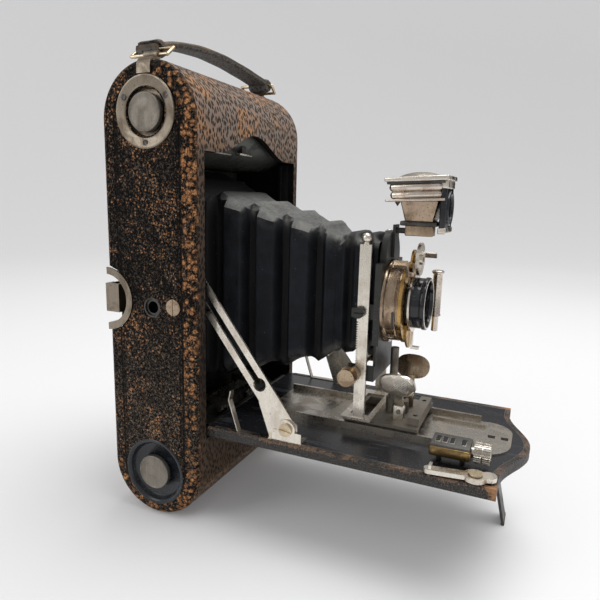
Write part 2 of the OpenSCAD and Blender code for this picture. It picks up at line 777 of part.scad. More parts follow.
module grip_body(knurled) {
    tilt = 22;
    difference() {
        union() {
            block(-12, -8.5, grip_y - 3, grip_y + 3, plate_z + 2.1, grip_z + 3);
            translate([-10, grip_y, grip_z + 1]) rotate([0, -tilt, 0]) {
                block(-1, 1, -2.4, 2.4, 0, 14);
                translate([-1.4, 0, 17.5]) along_x(0, 2.6) {
                    square([16, 6], center = true);
                    for (s = [-1, 1]) translate([0, s * 0.6]) square([12.5, 8.6], center = true);
                    for (s = [-1, 1]) translate([s * 5.6, 0]) circle(r = 4.4);
                }
            }
        }
        rod_x(-30, 0, grip_y, grip_z, 1.2 + run_gap);
        if (knurled) translate([-10, grip_y, grip_z + 1]) rotate([0, -tilt, 0])
            for (i = [-4 : 4]) translate([-1.6, i * 1.7, 17.5]) block(0, 0.4, -0.25, 0.25, -4, 4);
        else translate([-10, grip_y, grip_z + 18.5]) rotate([0, -tilt, 0])
            translate([-17.4, 0, 0]) sphere(r = 10);
    }
}
module near_grip() { color([0.6, 0.58, 0.54]) in_frame() grip_body(true); }
module far_grip() { color([0.45, 0.4, 0.33]) in_frame() mirror([1, 0, 0]) grip_body(false); }

// ---- frame that holds the lens board: two columns on a base, one edge cut as a rack
column_t = 2;
column_w = 6;
column_top = 153.5;
column_low = plate_z + 1.6;
pitch = PI * tooth_m;
teeth = 10;
pinion_r = tooth_m * teeth / 2;
pinion_z = 86;
rack_depth = 0.8;
rack_line = -column_y - rack_depth / 2;
pinion_y = rack_line + pinion_r + 0.08;
// the rack's outline, with a gap centred on the pinion's axis at rest
module rack_cutters() {
    // enough gaps for the pinion's whole climb
    for (i = [-4 : ceil(rise_travel / pitch) + 10]) translate([0, pinion_z + i * pitch])
        polygon([[-column_y + 0.2, -0.48], [-column_y + 0.2, 0.48],
                 [-column_y - rack_depth, 0.19], [-column_y - rack_depth, -0.19]]);
}
module lens_frame() {
    color([0.74, 0.68, 0.58]) in_frame() {
        both_sides() {
            along_x(column_half, column_half + column_t) difference() {
                translate([-column_y - column_w, column_low]) square([column_w, column_top - column_low]);
                rack_cutters();
            }
            // ball cap on a short neck
            translate([column_half + column_t / 2, -column_y - column_w / 2, column_top]) {
                cylinder(r = 1, h = 2.5);
                cylinder(r1 = 2, r2 = 1.2, h = 1.4);
                translate([0, 0, 3.2]) sphere(r = 2.6);
            }
        }
        difference() {
            block(-column_half - 3, column_half + 3, -110, carriage_rear + 0.5, column_low, column_low + 1.2);
            block(-column_half + 3, column_half - 3, -107, carriage_rear - 3, plate_z, plate_z + 5);
        }
    }
}

// ---- bellows: outlines of the pleats from the side and from above
bellows_rear = 16.5;
bellows_mid = -22;
bellows_front_y = -86;
bellows_pitch = 18.3;
bellows_end_y = -100;       // where the taper would reach the standard's width
fold_depth = 5;
cloth_t = 1;
function mix(a, b, t) = a + (b - a) * t;
function bellows_at(y, rear, mid, front) = y > bellows_mid
    ? mix(mid, rear, (y - bellows_mid) / (bellows_rear - bellows_mid))
    : mix(mid, front, (y - bellows_mid) / (bellows_end_y - bellows_mid));
function top_at(y) = bellows_at(y, 190, 176, 155.5);
function low_at(y) = bellows_at(y, 50, 76, 95);
function half_at(y) = bellows_at(y, 43, 31, 17.5);
// folds every half pitch, ridges at -22, -40.3 and so on along the top, valleys there along the sides
function fold_y(i) = bellows_mid + i * bellows_pitch / 2;
function folds(y0, y1) = [for (i = [10 : -1 : -10])
    if (fold_y(i) < y0 - 1 && fold_y(i) > y1 + 1) [fold_y(i), i]];
function fold_list(y0, y1) = concat([[y0, 0.5]], folds(y0, y1), [[y1, 0.5]]);
function amp(i) = i == 0.5 ? -fold_depth / 2 : (i % 2 == 0 ? 0 : -fold_depth);
module bellows_tube(y0, y1, wall) {
    list = fold_list(y0, y1);
    n = len(list);
    out = 2 - wall;
    intersection() {
        along_x(-60, 60) polygon(concat(
            [for (f = list) [f[0], top_at(f[0]) + amp(f[1]) + out]],
            [for (k = [n - 1 : -1 : 0]) let (f = list[k]) [f[0], low_at(f[0]) - amp(f[1]) - out]]));
        along_z(20, 220) polygon(concat(
            [for (f = list) [half_at(f[0]) + amp(f[1] + 1) + out, f[0]]],
            [for (k = [n - 1 : -1 : 0]) let (f = list[k]) [-half_at(f[0]) - amp(f[1] + 1) - out, f[0]]]));
    }
}
module bellows() {
    color([0.1, 0.11, 0.14]) in_frame() difference() {
        bellows_tube(bellows_rear, bellows_front_y, 0);
        bellows_tube(bellows_rear + 0.01, bellows_front_y - 0.01, cloth_t);
    }
}
board_y = -108.2;
board_t = 3.4;
module bellows_front() {
    y0 = bellows_front_y - 0.3;
    y1 = board_y + 0.3;
    color([0.12, 0.13, 0.15]) in_frame() difference() {
        intersection() {
            along_z(90, 165) polygon([[-18, y0], [-20.5, -91], [-16.3, -96.5], [-16.3, y1],
                                      [16.3, y1], [16.3, -96.5], [20.5, -91], [18, y0]]);
            along_x(-30, 30) polygon([[y0, 157], [-92.5, 159], [-97.5, 154], [-102.5, 159], [y1, 155],
                                      [y1, 97], [-102.5, 95], [-97.5, 98], [-92.5, 94], [y0, 95]]);
        }
        block(-14.5, 14.5, -120, -80, 100, 150);
    }
}

// ---- lens board with everything it carries
clamp_z = 119;
clamp_y = -column_y - 1.3;
module lens_board() {
    color([0.13, 0.13, 0.14]) in_frame() {
        along_y(board_y - board_t, board_y) difference() {
            union() {
                translate([-21, 102]) square([42, 42]);
                translate([0, 146]) circle(r = 14);
            }
            translate([0, lens_z]) circle(r = 14);
        }
    }
    // clamps that run on the columns
    color([0.5, 0.42, 0.32]) in_frame() {
        both_sides() {
            block(-19.6, -17.2, board_y - 1, -column_y + 2.2, clamp_z - 4, clamp_z + 4);
            block(-24.6, -17.2, -column_y + 0.4, -column_y + 2.2, clamp_z - 2.4, clamp_z + 2.4);
            difference() {
                rod_x(-25, -22.4, clamp_y, clamp_z, 2.9);
                block(-26, -24.2, -110, -90, clamp_z - 0.4, clamp_z + 0.4);
            }
        }
        // tongue with the pinion's bearings
        block(-17, 17, board_y - 1.2, board_y, pinion_z - 4, 103);
        both_sides() difference() {
            block(-19.2, -17, board_y - 1.2, pinion_y + 3, pinion_z - 4, pinion_z + 4);
            rod_x(-25, -10, pinion_y, pinion_z, 1.3 + run_gap);
        }
    }
    color([0.2, 0.2, 0.2]) in_frame() {
        // arm and pivot of the finder
        block(-4, 4, board_y - board_t - 1.4, board_y - board_t, 146, 163);
        rod_y(-124, board_y - board_t - 1, 0, finder_z, 1.5);
    }
}
// one tooth of the pinion, pointing along +X, with its root inside the wheel
module tooth() {
    tip_r = pinion_r + 0.3;
    polygon([[1.2, -0.28], [1.6, -0.27], [pinion_r, -0.19], [tip_r, -0.09],
             [tip_r, 0.09], [pinion_r, 0.19], [1.6, 0.27], [1.2, 0.28]]);
}
module pinion() {
    color([0.62, 0.56, 0.45]) in_frame() {
        rod_x(-27, 27, pinion_y, pinion_z, 1.3);
        for (x = [-column_half - column_t, column_half])
            translate([x, pinion_y, pinion_z]) rotate([0, 90, 0]) {
                cylinder(r = pinion_r - 0.45, h = column_t);
                // one tooth points straight into the rack's gap
                for (i = [0 : teeth - 1]) rotate([0, 0, -90 + i * 360 / teeth])
                    linear_extrude(height = column_t) tooth();
            }
        both_sides() {
            rod_x(-26.6, -column_half - column_t - 0.6, pinion_y, pinion_z, 4.8);
            // bell-shaped knob
            translate([-26.6, pinion_y, pinion_z]) rotate([0, -90, 0]) {
                cylinder(r = 2.2, h = 1);
                translate([0, 0, 0.8]) cylinder(r1 = 2.4, r2 = 4.4, h = 3.6);
                translate([0, 0, 4.4]) cylinder(r = 4.5, h = 0.8);
            }
        }
    }
}

shutter_y = board_y - board_t;
face_y = shutter_y - 8.8;
module shutter_case() {
    color([0.42, 0.36, 0.28]) in_frame() difference() {
        union() {
            rod_y(face_y, shutter_y, 0, lens_z, shutter_r);
            rod_y(shutter_y - 1.6, shutter_y, 0, lens_z, shutter_r + 1.4);
        }
        rod_y(face_y - cut, shutter_y + cut, 0, lens_z, 9);
        // exposure slit in the rim
        block(-40, -20.4, face_y + 1.6, face_y + 2.8, lens_z - 9, lens_z - 2);
    }
}
module shutter_face() {
    color([0.7, 0.5, 0.22]) in_frame() {
        difference() {
            rod_y(face_y - 1.8, face_y, 0, lens_z, shutter_r + 0.5);
            rod_y(face_y - 5, face_y + cut, 0, lens_z, 9);
        }
        // scale plates: stops below, speeds above
        along_y(face_y - 2.8, face_y - 1.8) difference() {
            union() {
                translate([0, lens_z - 15]) circle(r = 9.5);
                translate([0, lens_z + 22]) circle(r = 6);
            }
            translate([0, lens_z]) circle(r = barrel_r + 0.6);
            translate([-20, lens_z]) square([40, 15]);
        }
        // studs of the dial and of the two levers
        rod_y(face_y - 4.4, face_y - 1.8, 0, dial_z, 2.2);
        rod_y(face_y - 7.6, face_y - 1.8, 0, dial_z, 1.2);
        for (p = [release_at, cocking_at]) rod_y(face_y - 4.2, face_y - 1.8, p[0], p[1], 1.1);
    }
}
dial_z = lens_z + 23.2;
dial_y = face_y - 4.8;
dial_r = 8.5;
module speed_dial() {
    color([0.72, 0.68, 0.6]) in_frame() difference() {
        union() {
            rod_y(dial_y - 1.5, dial_y, 0, dial_z, dial_r);
            rod_y(dial_y - 2.4, dial_y - 1.5, 0, dial_z, 3);
        }
        rod_y(dial_y - 4, dial_y + cut, 0, dial_z, 1.2 + run_gap);
        for (i = [0 : 11]) translate([0, 0, dial_z]) rotate([0, i * 30, 0])
            block(dial_r - 0.6, 10, dial_y - 3, dial_y + cut, -0.3, 0.3);
    }
}
pointer_y = face_y - 4.4;
module aperture_pointer() {
    color([0.72, 0.68, 0.6]) in_frame() difference() {
        union() {
            rod_y(pointer_y, pointer_y + 1, 0, lens_z, barrel_r + 2);
            block(-1.2, 1.2, pointer_y, pointer_y + 1, lens_z - 24, lens_z - barrel_r);
            block(-1.2, 1.2, pointer_y - 3.4, pointer_y + 1, lens_z - 25, lens_z - 23.6);
        }
        rod_y(pointer_y - 8, pointer_y + 5, 0, lens_z, barrel_r + run_gap);
    }
}
module air_cylinder() {
    x = 17.8;
    y = face_y - 12.1;
    low = lens_z - 9.5;
    high = lens_z + 14.5;
    color([0.68, 0.62, 0.5]) in_frame() {
        rod_z(low, high, x, y, 2.7);
        rod_z(low - 0.8, low, x, y, 3.1);
        rod_z(high, high + 1.4, x, y, 3.4);
        rod_z(low - 8.5, low - 0.8, x, y, 2);
        for (z = [lens_z - 6, lens_z + 4]) block(x - 1.5, x + 1.5, y, face_y - 1.8, z, z + 1.6);
    }
}
release_at = [-14.5, lens_z + 14];
cocking_at = [9.6, lens_z + 18];
module cocking_lever() {
    color([0.72, 0.68, 0.6]) in_frame() difference() {
        union() {
            rod_y(face_y - 3.6, face_y - 2.2, cocking_at[0], cocking_at[1], 2.3);
            translate([cocking_at[0], 0, cocking_at[1]]) rotate([0, -22, 0]) {
                block(0, 15, face_y - 3.6, face_y - 2.2, -1.2, 1.2);
                block(13.6, 15, face_y - 10, face_y - 2.2, -1.4, 1.4);
            }
        }
        rod_y(face_y - 5, face_y, cocking_at[0], cocking_at[1], 1.1 + run_gap);
    }
}
module release_lever() {
    color([0.62, 0.5, 0.34]) in_frame() difference() {
        union() {
            // release lever: hub, arm out past the rim, and a thumb tab
            rod_y(face_y - 3.6, face_y - 2.2, release_at[0], release_at[1], 2.6);
            translate([release_at[0], 0, release_at[1]]) rotate([0, -125, 0]) {
                block(0, 11, face_y - 3.6, face_y - 2.2, -1.1, 1.1);
                block(9.6, 11, face_y - 3.6, face_y + 3, -1.8, 1.8);
            }
        }
        rod_y(face_y - 5, face_y, release_at[0], release_at[1], 1.1 + run_gap);
    }
}
rim_r = barrel_r + 0.6;
module lens_barrel() {
    color([0.05, 0.05, 0.06]) in_frame() {
        difference() {
            union() {
                rod_y(face_y - 9.8, face_y - 1.8, 0, lens_z, barrel_r);
                rod_y(face_y - 11.7, face_y - 9.2, 0, lens_z, rim_r);
                rod_y(face_y - 2, board_y + 6, 0, lens_z, 8.8);
                rod_y(board_y, board_y + 6, 0, lens_z, 13);
            }
            rod_y(face_y - 20, board_y + 10, 0, lens_z, 7.4);
            rod_y(face_y - 14, face_y - 5.7, 0, lens_z, barrel_r - 1.6);
        }
    }
}
// stop leaves between the two glasses
module iris() {
    color([0.12, 0.12, 0.12]) in_frame() difference() {
        rod_y(face_y + 1, face_y + 1.6, 0, lens_z, 7.3);
        rod_y(face_y, face_y + 3, 0, lens_z, 3.4);
    }
}
module lens_glass() {
    color([0.8, 0.9, 1, 0.35]) in_frame() {
        intersection() {
            rod_y(face_y - 9.4, face_y - 5.75, 0, lens_z, barrel_r - 1.65);
            translate([0, face_y + 12.4, lens_z]) sphere(r = 21.6);
        }
        rod_y(board_y + 3, board_y + 5.4, 0, lens_z, 7.35);
    }
}

// ---- brilliant finder, turned on its pivot for pictures of the other format
finder_z = 160;
module finder() {
    front = -139.5;
    eye_z = finder_z + 12;      // axis of its small front lens
    hood_z = finder_z + 16;
    frame_z = finder_z + 24.6;
    color([0.6, 0.52, 0.42]) in_frame() difference() {
        union() {
            // pivot block, body with the mirror, and the tube of the lens
            block(-3.4, 3.4, -132, -115, finder_z - 2.9, finder_z + 6);
            block(-7.2, 7.2, -131, -117.5, finder_z + 5.5, hood_z);
            rod_y(-137, -130, 0, eye_z, 7);
            // flange, hood and the frame of the viewing glass
            block(-12.4, 12.4, -137, -109, hood_z - 0.6, hood_z + 0.6);
            block(-11.5, 11.5, -136, -110.5, hood_z, frame_z);
            block(-13, 13, front, -108.2, frame_z, frame_z + 2.6);
            block(-9.5, 9.5, front, front + 3, finder_z - 2, frame_z + 2);
            intersection() {
                block(-10.5, 10.5, -134, -112.5, frame_z + 2, frame_z + 8);
                translate([0, -123, finder_z + 6.8]) sphere(r = 24);
            }
        }
        rod_y(-126, -110, 0, finder_z, 1.5 + run_gap);
        rod_y(front - cut, front + 2, 0, eye_z, 8);
        rod_y(front - cut, -120, 0, eye_z, 5.6);
    }
}

body_shell();
body_leather();
upper_chamber_wall();
lower_chamber_wall();
film_gate();
tripod_bush();
ring_plate();
lower_cup();
case_screws();
latch_ring();
key_bush();
back_cover();
back_leather();
window_ring();
red_window();
back_latch();
upper_knob();
lower_knob();
take_up_spool();
winding_key();
key_handle();
supply_spool();
upper_roller();
lower_roller();
strap();
strap_brackets();
strap_loops();
bed_plate();
bed_leather();
hinge_leaves();
hinge_pin();
foot();
foot_pin();
track();
struts();
strut_brackets();
strut_springs();
bed_screws();
focus_lever();
scale_box();
scale_wheel();
carriage();
near_grip();
far_grip();
lens_frame();
bellows();
bellows_front();
lens_board();
pinion();
shutter_case();
shutter_face();
release_lever();
cocking_lever();
speed_dial();
aperture_pointer();
air_cylinder();
lens_barrel();
lens_glass();
iris();
finder();
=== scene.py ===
"""Looks of a folding camera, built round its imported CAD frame."""

import math

import bmesh
import bpy
import numpy as np
from mathutils import Matrix, Vector


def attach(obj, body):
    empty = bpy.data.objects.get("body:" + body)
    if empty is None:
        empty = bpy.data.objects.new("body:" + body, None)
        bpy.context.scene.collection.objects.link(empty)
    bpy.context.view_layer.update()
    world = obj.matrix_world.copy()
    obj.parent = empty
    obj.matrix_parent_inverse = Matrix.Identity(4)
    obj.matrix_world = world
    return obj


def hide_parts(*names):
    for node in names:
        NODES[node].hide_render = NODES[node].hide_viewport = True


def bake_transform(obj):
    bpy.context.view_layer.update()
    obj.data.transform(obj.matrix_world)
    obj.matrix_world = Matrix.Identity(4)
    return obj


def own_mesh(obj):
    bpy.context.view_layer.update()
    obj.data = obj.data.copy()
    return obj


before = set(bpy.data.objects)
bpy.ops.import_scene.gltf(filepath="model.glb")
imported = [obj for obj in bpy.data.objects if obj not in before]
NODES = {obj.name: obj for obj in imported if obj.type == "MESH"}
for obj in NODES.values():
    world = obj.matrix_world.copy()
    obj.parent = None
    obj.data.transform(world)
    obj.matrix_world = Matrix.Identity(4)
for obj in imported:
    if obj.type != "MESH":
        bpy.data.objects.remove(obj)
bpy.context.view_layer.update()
MM = 0.001
CASE_Y = 0.07805  # the middle of the case, along Y, in the row frame
HALF_W, BODY_R, BODY_H = 60.5, 28.5, 240.0


def row(x, y, z):
    """A point of the case's own frame, in millimetres, as a point of the row frame, in metres."""
    return (x * MM, y * MM + CASE_Y, z * MM)


# ---------------------------------------------------------------- materials


class Paint:
    """A procedural material: short names for the nodes that its functions below wire together."""

    def __init__(self, name, **constants):
        self.material = bpy.data.materials.new(name)
        self.material.use_nodes = True
        self.tree = self.material.node_tree
        self.tree.nodes.clear()
        out = self.tree.nodes.new("ShaderNodeOutputMaterial")
        self.shader = self.tree.nodes.new("ShaderNodeBsdfPrincipled")
        self.tree.links.new(self.shader.outputs[0], out.inputs[0])
        self.place = self.tree.nodes.new("ShaderNodeTexCoord").outputs["Object"]
        self.set(**constants)

    def set(self, **values):
        for name, value in values.items():
            self.feed(self.shader.inputs[name.replace("_", " ")], value)

    def feed(self, socket, value):
        if isinstance(value, bpy.types.NodeSocket):
            self.tree.links.new(value, socket)
        elif hasattr(socket.default_value, "__len__") and len(socket.default_value) == 4:
            socket.default_value = (*value[:3], 1.0)
        else:
            socket.default_value = value

    def node(self, kind, inputs=(), **settings):
        made = self.tree.nodes.new("ShaderNode" + kind)
        for name, value in settings.items():
            setattr(made, name, value)
        for key, value in dict(inputs).items():
            self.feed(made.inputs[key], value)
        return made

    def mapped(self, scale, turn=(0, 0, 0), shift=(0, 0, 0)):
        made = self.node("Mapping", {"Vector": self.place})
        made.inputs["Scale"].default_value = scale
        made.inputs["Rotation"].default_value = turn
        made.inputs["Location"].default_value = shift
        return made.outputs[0]

    def noise(self, scale, detail=3.0, rough=0.55, warp=0.0, at=None):
        inputs = {"Vector": at or self.place, "Scale": scale, "Detail": detail}
        inputs.update({"Roughness": rough, "Distortion": warp})
        return self.node("TexNoise", inputs).outputs[0]

    def cells(self, scale, feature="F1", at=None, random=1.0, out=0):
        inputs = {"Vector": at or self.place, "Scale": scale, "Randomness": random}
        return self.node("TexVoronoi", inputs, feature=feature).outputs[out]

    def calc(self, operation, a, b=0.0, c=0.0):
        made = self.node("Math", operation=operation)
        for socket, value in zip(made.inputs, (a, b, c)):
            self.feed(socket, value)
        return made.outputs[0]

    def add(self, a, b):
        return self.calc("ADD", a, b)

    def less(self, a, b):
        return self.calc("SUBTRACT", a, b)

    def mul(self, a, b):
        return self.calc("MULTIPLY", a, b)

    def span(self, value, low, high, to_low=0.0, to_high=1.0, smooth=True):
        kind = "SMOOTHSTEP" if smooth else "LINEAR"
        made = self.node("MapRange", interpolation_type=kind)
        names = ("Value", "From Min", "From Max", "To Min", "To Max")
        for name, v in zip(names, (value, low, high, to_low, to_high)):
            self.feed(made.inputs[name], v)
        return made.outputs[0]

    def mix(self, share, a, b, blend="MIX"):
        made = self.node("Mix", data_type="RGBA", blend_type=blend)
        for index, value in ((0, share), (6, a), (7, b)):
            self.feed(made.inputs[index], value)
        return made.outputs[2]

    def axes(self, at=None):
        return self.node("SeparateXYZ", {0: at or self.place}).outputs

    def bump(self, height, depth, strength=1.0):
        made = self.node("Bump", {"Height": height})
        made.inputs["Distance"].default_value = depth
        made.inputs["Strength"].default_value = strength
        self.set(Normal=made.outputs[0])


def metal(name, plate, stain, dark, rough=0.28, stained=0.5, metallic=1.0):
    """Worn plate: cloudy stains, fine scratches along Z, dark specks, and duller patches where it is tarnished."""
    p = Paint(name, Metallic=metallic)
    cloud = p.span(p.noise(95, 4, 0.6, 0.6), 0.42, 0.68)
    fine = p.noise(1, 2, 0.5, at=p.mapped((900, 900, 120)))
    specks = p.span(p.noise(1500, 2, 0.7), 0.62, 0.72)
    base = p.mix(p.mul(cloud, stained), plate, stain)
    base = p.mix(p.mul(p.span(fine, 0.35, 0.75), 0.28), base, tuple(0.72 * v for v in plate))
    p.set(Base_Color=p.mix(p.mul(specks, 0.75), base, dark))
    worn = p.add(p.mul(cloud, 0.22), p.mul(fine, 0.16))
    p.set(Roughness=p.add(p.mul(specks, 0.3), p.add(worn, rough - 0.1)))
    p.bump(p.add(fine, p.mul(specks, -1.2)), 0.00003)
    return p.material


def case_leather(name):
    """Pebbled black leather over the case. Single pebbles are rubbed to tan: most of them in a band along the
    front rim and round the lower end, fewer on the sides. The wrap is grey-brown with dark slanting pits."""
    p = Paint(name, Specular_IOR_Level=0.07)
    x, y, z = p.axes()
    from_side = p.less(HALF_W * MM, p.calc("ABSOLUTE", x))
    middle_z = p.calc("MINIMUM", p.calc("MAXIMUM", z, BODY_R * MM), (BODY_H - BODY_R) * MM)
    across = p.less(y, CASE_Y)
    up = p.less(z, middle_z)
    reach = p.calc("SQRT", p.add(p.mul(across, across), p.mul(up, up)))
    inset = p.less(BODY_R * MM, reach)
    on_side = p.span(from_side, 0.0012, 0.0032, 1.0, 0.0)
    round_wrap = p.add(middle_z, p.mul(p.calc("ARCTAN2", up, p.mul(across, -1.0)), BODY_R * MM))
    jitter = p.node("TexNoise", {"Vector": p.place, "Scale": 230.0, "Detail": 2.0}).outputs[1]
    small = p.node("VectorMath", {0: jitter}, operation="SCALE")
    small.inputs["Scale"].default_value = 0.0022
    at = p.node("VectorMath", {0: p.place, 1: small.outputs[0]}, operation="ADD").outputs[0]

    # side: round pebbles, each with its own chance of being rubbed bare, on a black ground full of fine flecks
    big = p.cells(350, "F1", at)
    big_luck = p.axes(p.cells(350, "F1", at, out=1))[0]
    fine = p.cells(780, "F1", at)
    fine_luck = p.axes(p.cells(780, "F1", at, out=1))[1]
    patches = p.noise(42, 5, 0.66, 0.5)
    ragged = p.noise(900, 3, 0.7)
    grit = p.noise(1050, 3, 0.72, 0.6)
    high = p.span(z, 0.03, 0.17)
    band = p.mul(p.span(inset, 0.0095, 0.0068), p.span(across, 0.006, -0.016))
    foot_band = p.mul(p.span(inset, 0.010, 0.004), p.span(z, 0.05, 0.018))
    rear_band = p.mul(p.span(inset, 0.006, 0.001), 0.3)
    chance = p.calc("MAXIMUM", p.mul(band, p.add(0.4, p.mul(high, 0.4))), p.mul(foot_band, 0.7))
    chance = p.calc("MAXIMUM", chance, rear_band)
    spots = p.add(0.08, p.mul(p.span(patches, 0.42, 0.64), 0.66))
    top_big = p.span(p.add(big, p.mul(p.less(ragged, 0.5), 0.35)), 0.62, 0.3)
    top_fine = p.span(p.add(fine, p.mul(p.less(grit, 0.5), 0.3)), 0.6, 0.3)
    big_odds = p.less(p.add(chance, p.mul(patches, 0.3)), big_luck)
    fine_odds = p.less(p.add(spots, p.mul(p.less(ragged, 0.5), 0.5)), fine_luck)
    bare_big = p.mul(p.span(big_odds, -0.08, 0.16), top_big)
    bare_fine = p.mul(p.span(fine_odds, -0.02, 0.22), top_fine)
    in_band = p.span(chance, 0.18, 0.4)
    bare = p.calc("MAXIMUM", p.mul(bare_big, in_band), p.mul(bare_fine, 0.85))
    low = p.span(z, 0.135, 0.05)
    black = p.mix(p.mul(top_fine, p.add(0.1, p.mul(low, 0.9))), (0.0012, 0.001, 0.001), (0.034, 0.027, 0.021))
    fleck = p.mul(p.span(grit, 0.5, 0.66), p.add(0.35, p.mul(p.add(low, p.span(patches, 0.42, 0.6)), 0.4)))
    black = p.mix(fleck, black, (0.22, 0.17, 0.13))
    mottle = p.span(p.add(p.mul(ragged, 0.5), p.mul(grit, 0.5)), 0.42, 0.6)
    tan = p.mix(mottle, (0.1, 0.04, 0.018), (0.6, 0.3, 0.135))
    side = p.mix(bare, black, tan)
    outer, inner = (p.span(p.calc("ABSOLUTE", p.less(inset, d)), 0.0009, 0.0003) for d in (0.0087, 0.0103))
    groove = p.mul(p.add(outer, p.mul(inner, 0.7)), on_side)
    side = p.mix(p.mul(groove, 0.8), side, (0.004, 0.004, 0.004))

    # wrap: long pits that lean, in a net of grey ridges with orange tips
    flat = p.node("CombineXYZ", {0: p.axes(at)[0], 1: round_wrap}).outputs[0]
    lean = p.node("Mapping", {"Vector": flat})
    lean.inputs["Rotation"].default_value = (0.0, 0.0, 0.22)
    lean.inputs["Scale"].default_value = (620, 270, 1)
    pit_inputs = {"Vector": lean.outputs[0], "Scale": 1.0, "Randomness": 0.85}
    pit = p.node("TexVoronoi", pit_inputs, voronoi_dimensions="2D").outputs[0]
    pitted = p.span(p.add(pit, p.mul(p.less(ragged, 0.5), 0.25)), 0.44, 0.18)
    rub = p.noise(55, 4, 0.62, 0.4)
    ridge = p.mix(p.span(rub, 0.5, 0.66), (0.215, 0.175, 0.15), (0.4, 0.215, 0.11))
    ridge = p.mix(p.span(p.noise(330, 3, 0.6), 0.4, 0.62, 0.0, 0.75), ridge, (0.26, 0.17, 0.115))
    # painted shade: the wrap's front face below the lip is painted dark, darker towards the bottom and darkest
    # under the bed
    forward = p.mul(p.span(across, -0.026, -0.0283), p.span(z, 0.208, 0.19))
    front_shade = p.add(0.1, p.mul(p.span(z, 0.06, 0.2), 0.32))
    ridge = p.mix(forward, ridge, p.mix(front_shade, (0.012, 0.01, 0.009), (0.2, 0.14, 0.1)))
    ridge = p.mix(p.mul(p.span(z, 0.09, 0.02), 0.5), ridge, (0.16, 0.1, 0.06))
    wrap = p.mix(p.mul(pitted, 0.92), ridge, (0.018, 0.015, 0.014))
    cut_edge = p.span(inset, 0.00015, 0.0003)
    wrap = p.mix(p.mul(cut_edge, p.less(1.0, on_side)), wrap, (0.01, 0.009, 0.009))
    corner = p.mul(p.span(p.less(from_side, 0.0016), 0.0028, 0.0), p.span(z, 0.02, 0.2, 0.2, 0.75))
    wrap = p.mix(p.mul(p.mul(corner, top_big), p.span(big_luck, 0.8, 0.5)), wrap, tan)
    p.set(Base_Color=p.mix(on_side, wrap, side))
    p.set(Roughness=p.add(0.52, p.add(p.mul(bare, 0.2), p.mul(patches, 0.14))))
    side_height = p.add(p.mul(top_big, p.add(0.25, in_band)), p.add(p.mul(top_fine, 0.5), p.mul(grit, 0.5)))
    height = p.node("RGBToBW", {0: p.mix(on_side, p.less(1.0, pitted), side_height)}).outputs[0]
    p.bump(p.add(height, p.mul(groove, -1.2)), 0.0006, 1.0)
    return p.material


def bed_hide(name):
    """The bed's leather: black, scuffed brown along its edge and bare at the front corners."""
    p = Paint(name, Specular_IOR_Level=0.4)
    x, y, z = p.axes()
    grain = p.span(p.cells(620, "F1"), 0.15, 0.6)
    patches = p.noise(85, 4, 0.65, 0.5)
    grit = p.noise(1500, 3, 0.75, 0.4)
    corner = p.mul(p.span(p.calc("ABSOLUTE", x), 0.046, 0.052), p.span(y, -0.0895, -0.0965))
    rim = p.mul(p.span(z, 0.052, 0.0535), p.span(y, -0.07, 0.01, 0.8, 1.0))
    worn = p.add(p.mul(rim, 0.55), p.add(p.mul(corner, 0.5), p.mul(p.less(patches, 0.52), 2.2)))
    broken = p.add(p.mul(grain, 0.25), p.mul(p.less(grit, 0.5), 1.2))
    share = p.mul(p.span(p.add(worn, broken), 0.5, 0.85), 0.9)
    black = p.mix(p.span(grit, 0.42, 0.66), (0.006, 0.006, 0.0065), (0.075, 0.066, 0.056))
    edge = p.mix(p.span(grit, 0.4, 0.6), (0.09, 0.05, 0.03), (0.24, 0.155, 0.1))
    brown = p.mix(corner, edge, (0.38, 0.19, 0.085))
    p.set(Base_Color=p.mix(share, black, brown))
    p.set(Roughness=p.add(0.45, p.mul(share, 0.3)))
    p.bump(p.add(grain, p.mul(share, -0.4)), 0.0003, 0.8)
    return p.material


def enamel(name, base=(0.012, 0.014, 0.02), scuff=(0.075, 0.095, 0.125), rough=0.22):
    """Black enamel with long pale scuffs and dust."""
    p = Paint(name, Specular_IOR_Level=0.5)
    streak = p.noise(1, 5, 0.65, 0.4, at=p.mapped((150, 28, 150)))
    dust = p.span(p.noise(1300, 2, 0.6), 0.66, 0.74)
    cloud = p.noise(40, 3, 0.6)
    share = p.mul(p.span(streak, 0.47, 0.74), p.span(cloud, 0.35, 0.65))
    colour = p.mix(share, base, scuff)
    p.set(Base_Color=p.mix(p.mul(dust, 0.35), colour, (0.3, 0.3, 0.28)))
    p.set(Roughness=p.add(p.mul(share, 0.3), p.add(p.mul(dust, 0.2), rough)))
    p.bump(p.add(streak, dust), 0.00006)
    return p.material


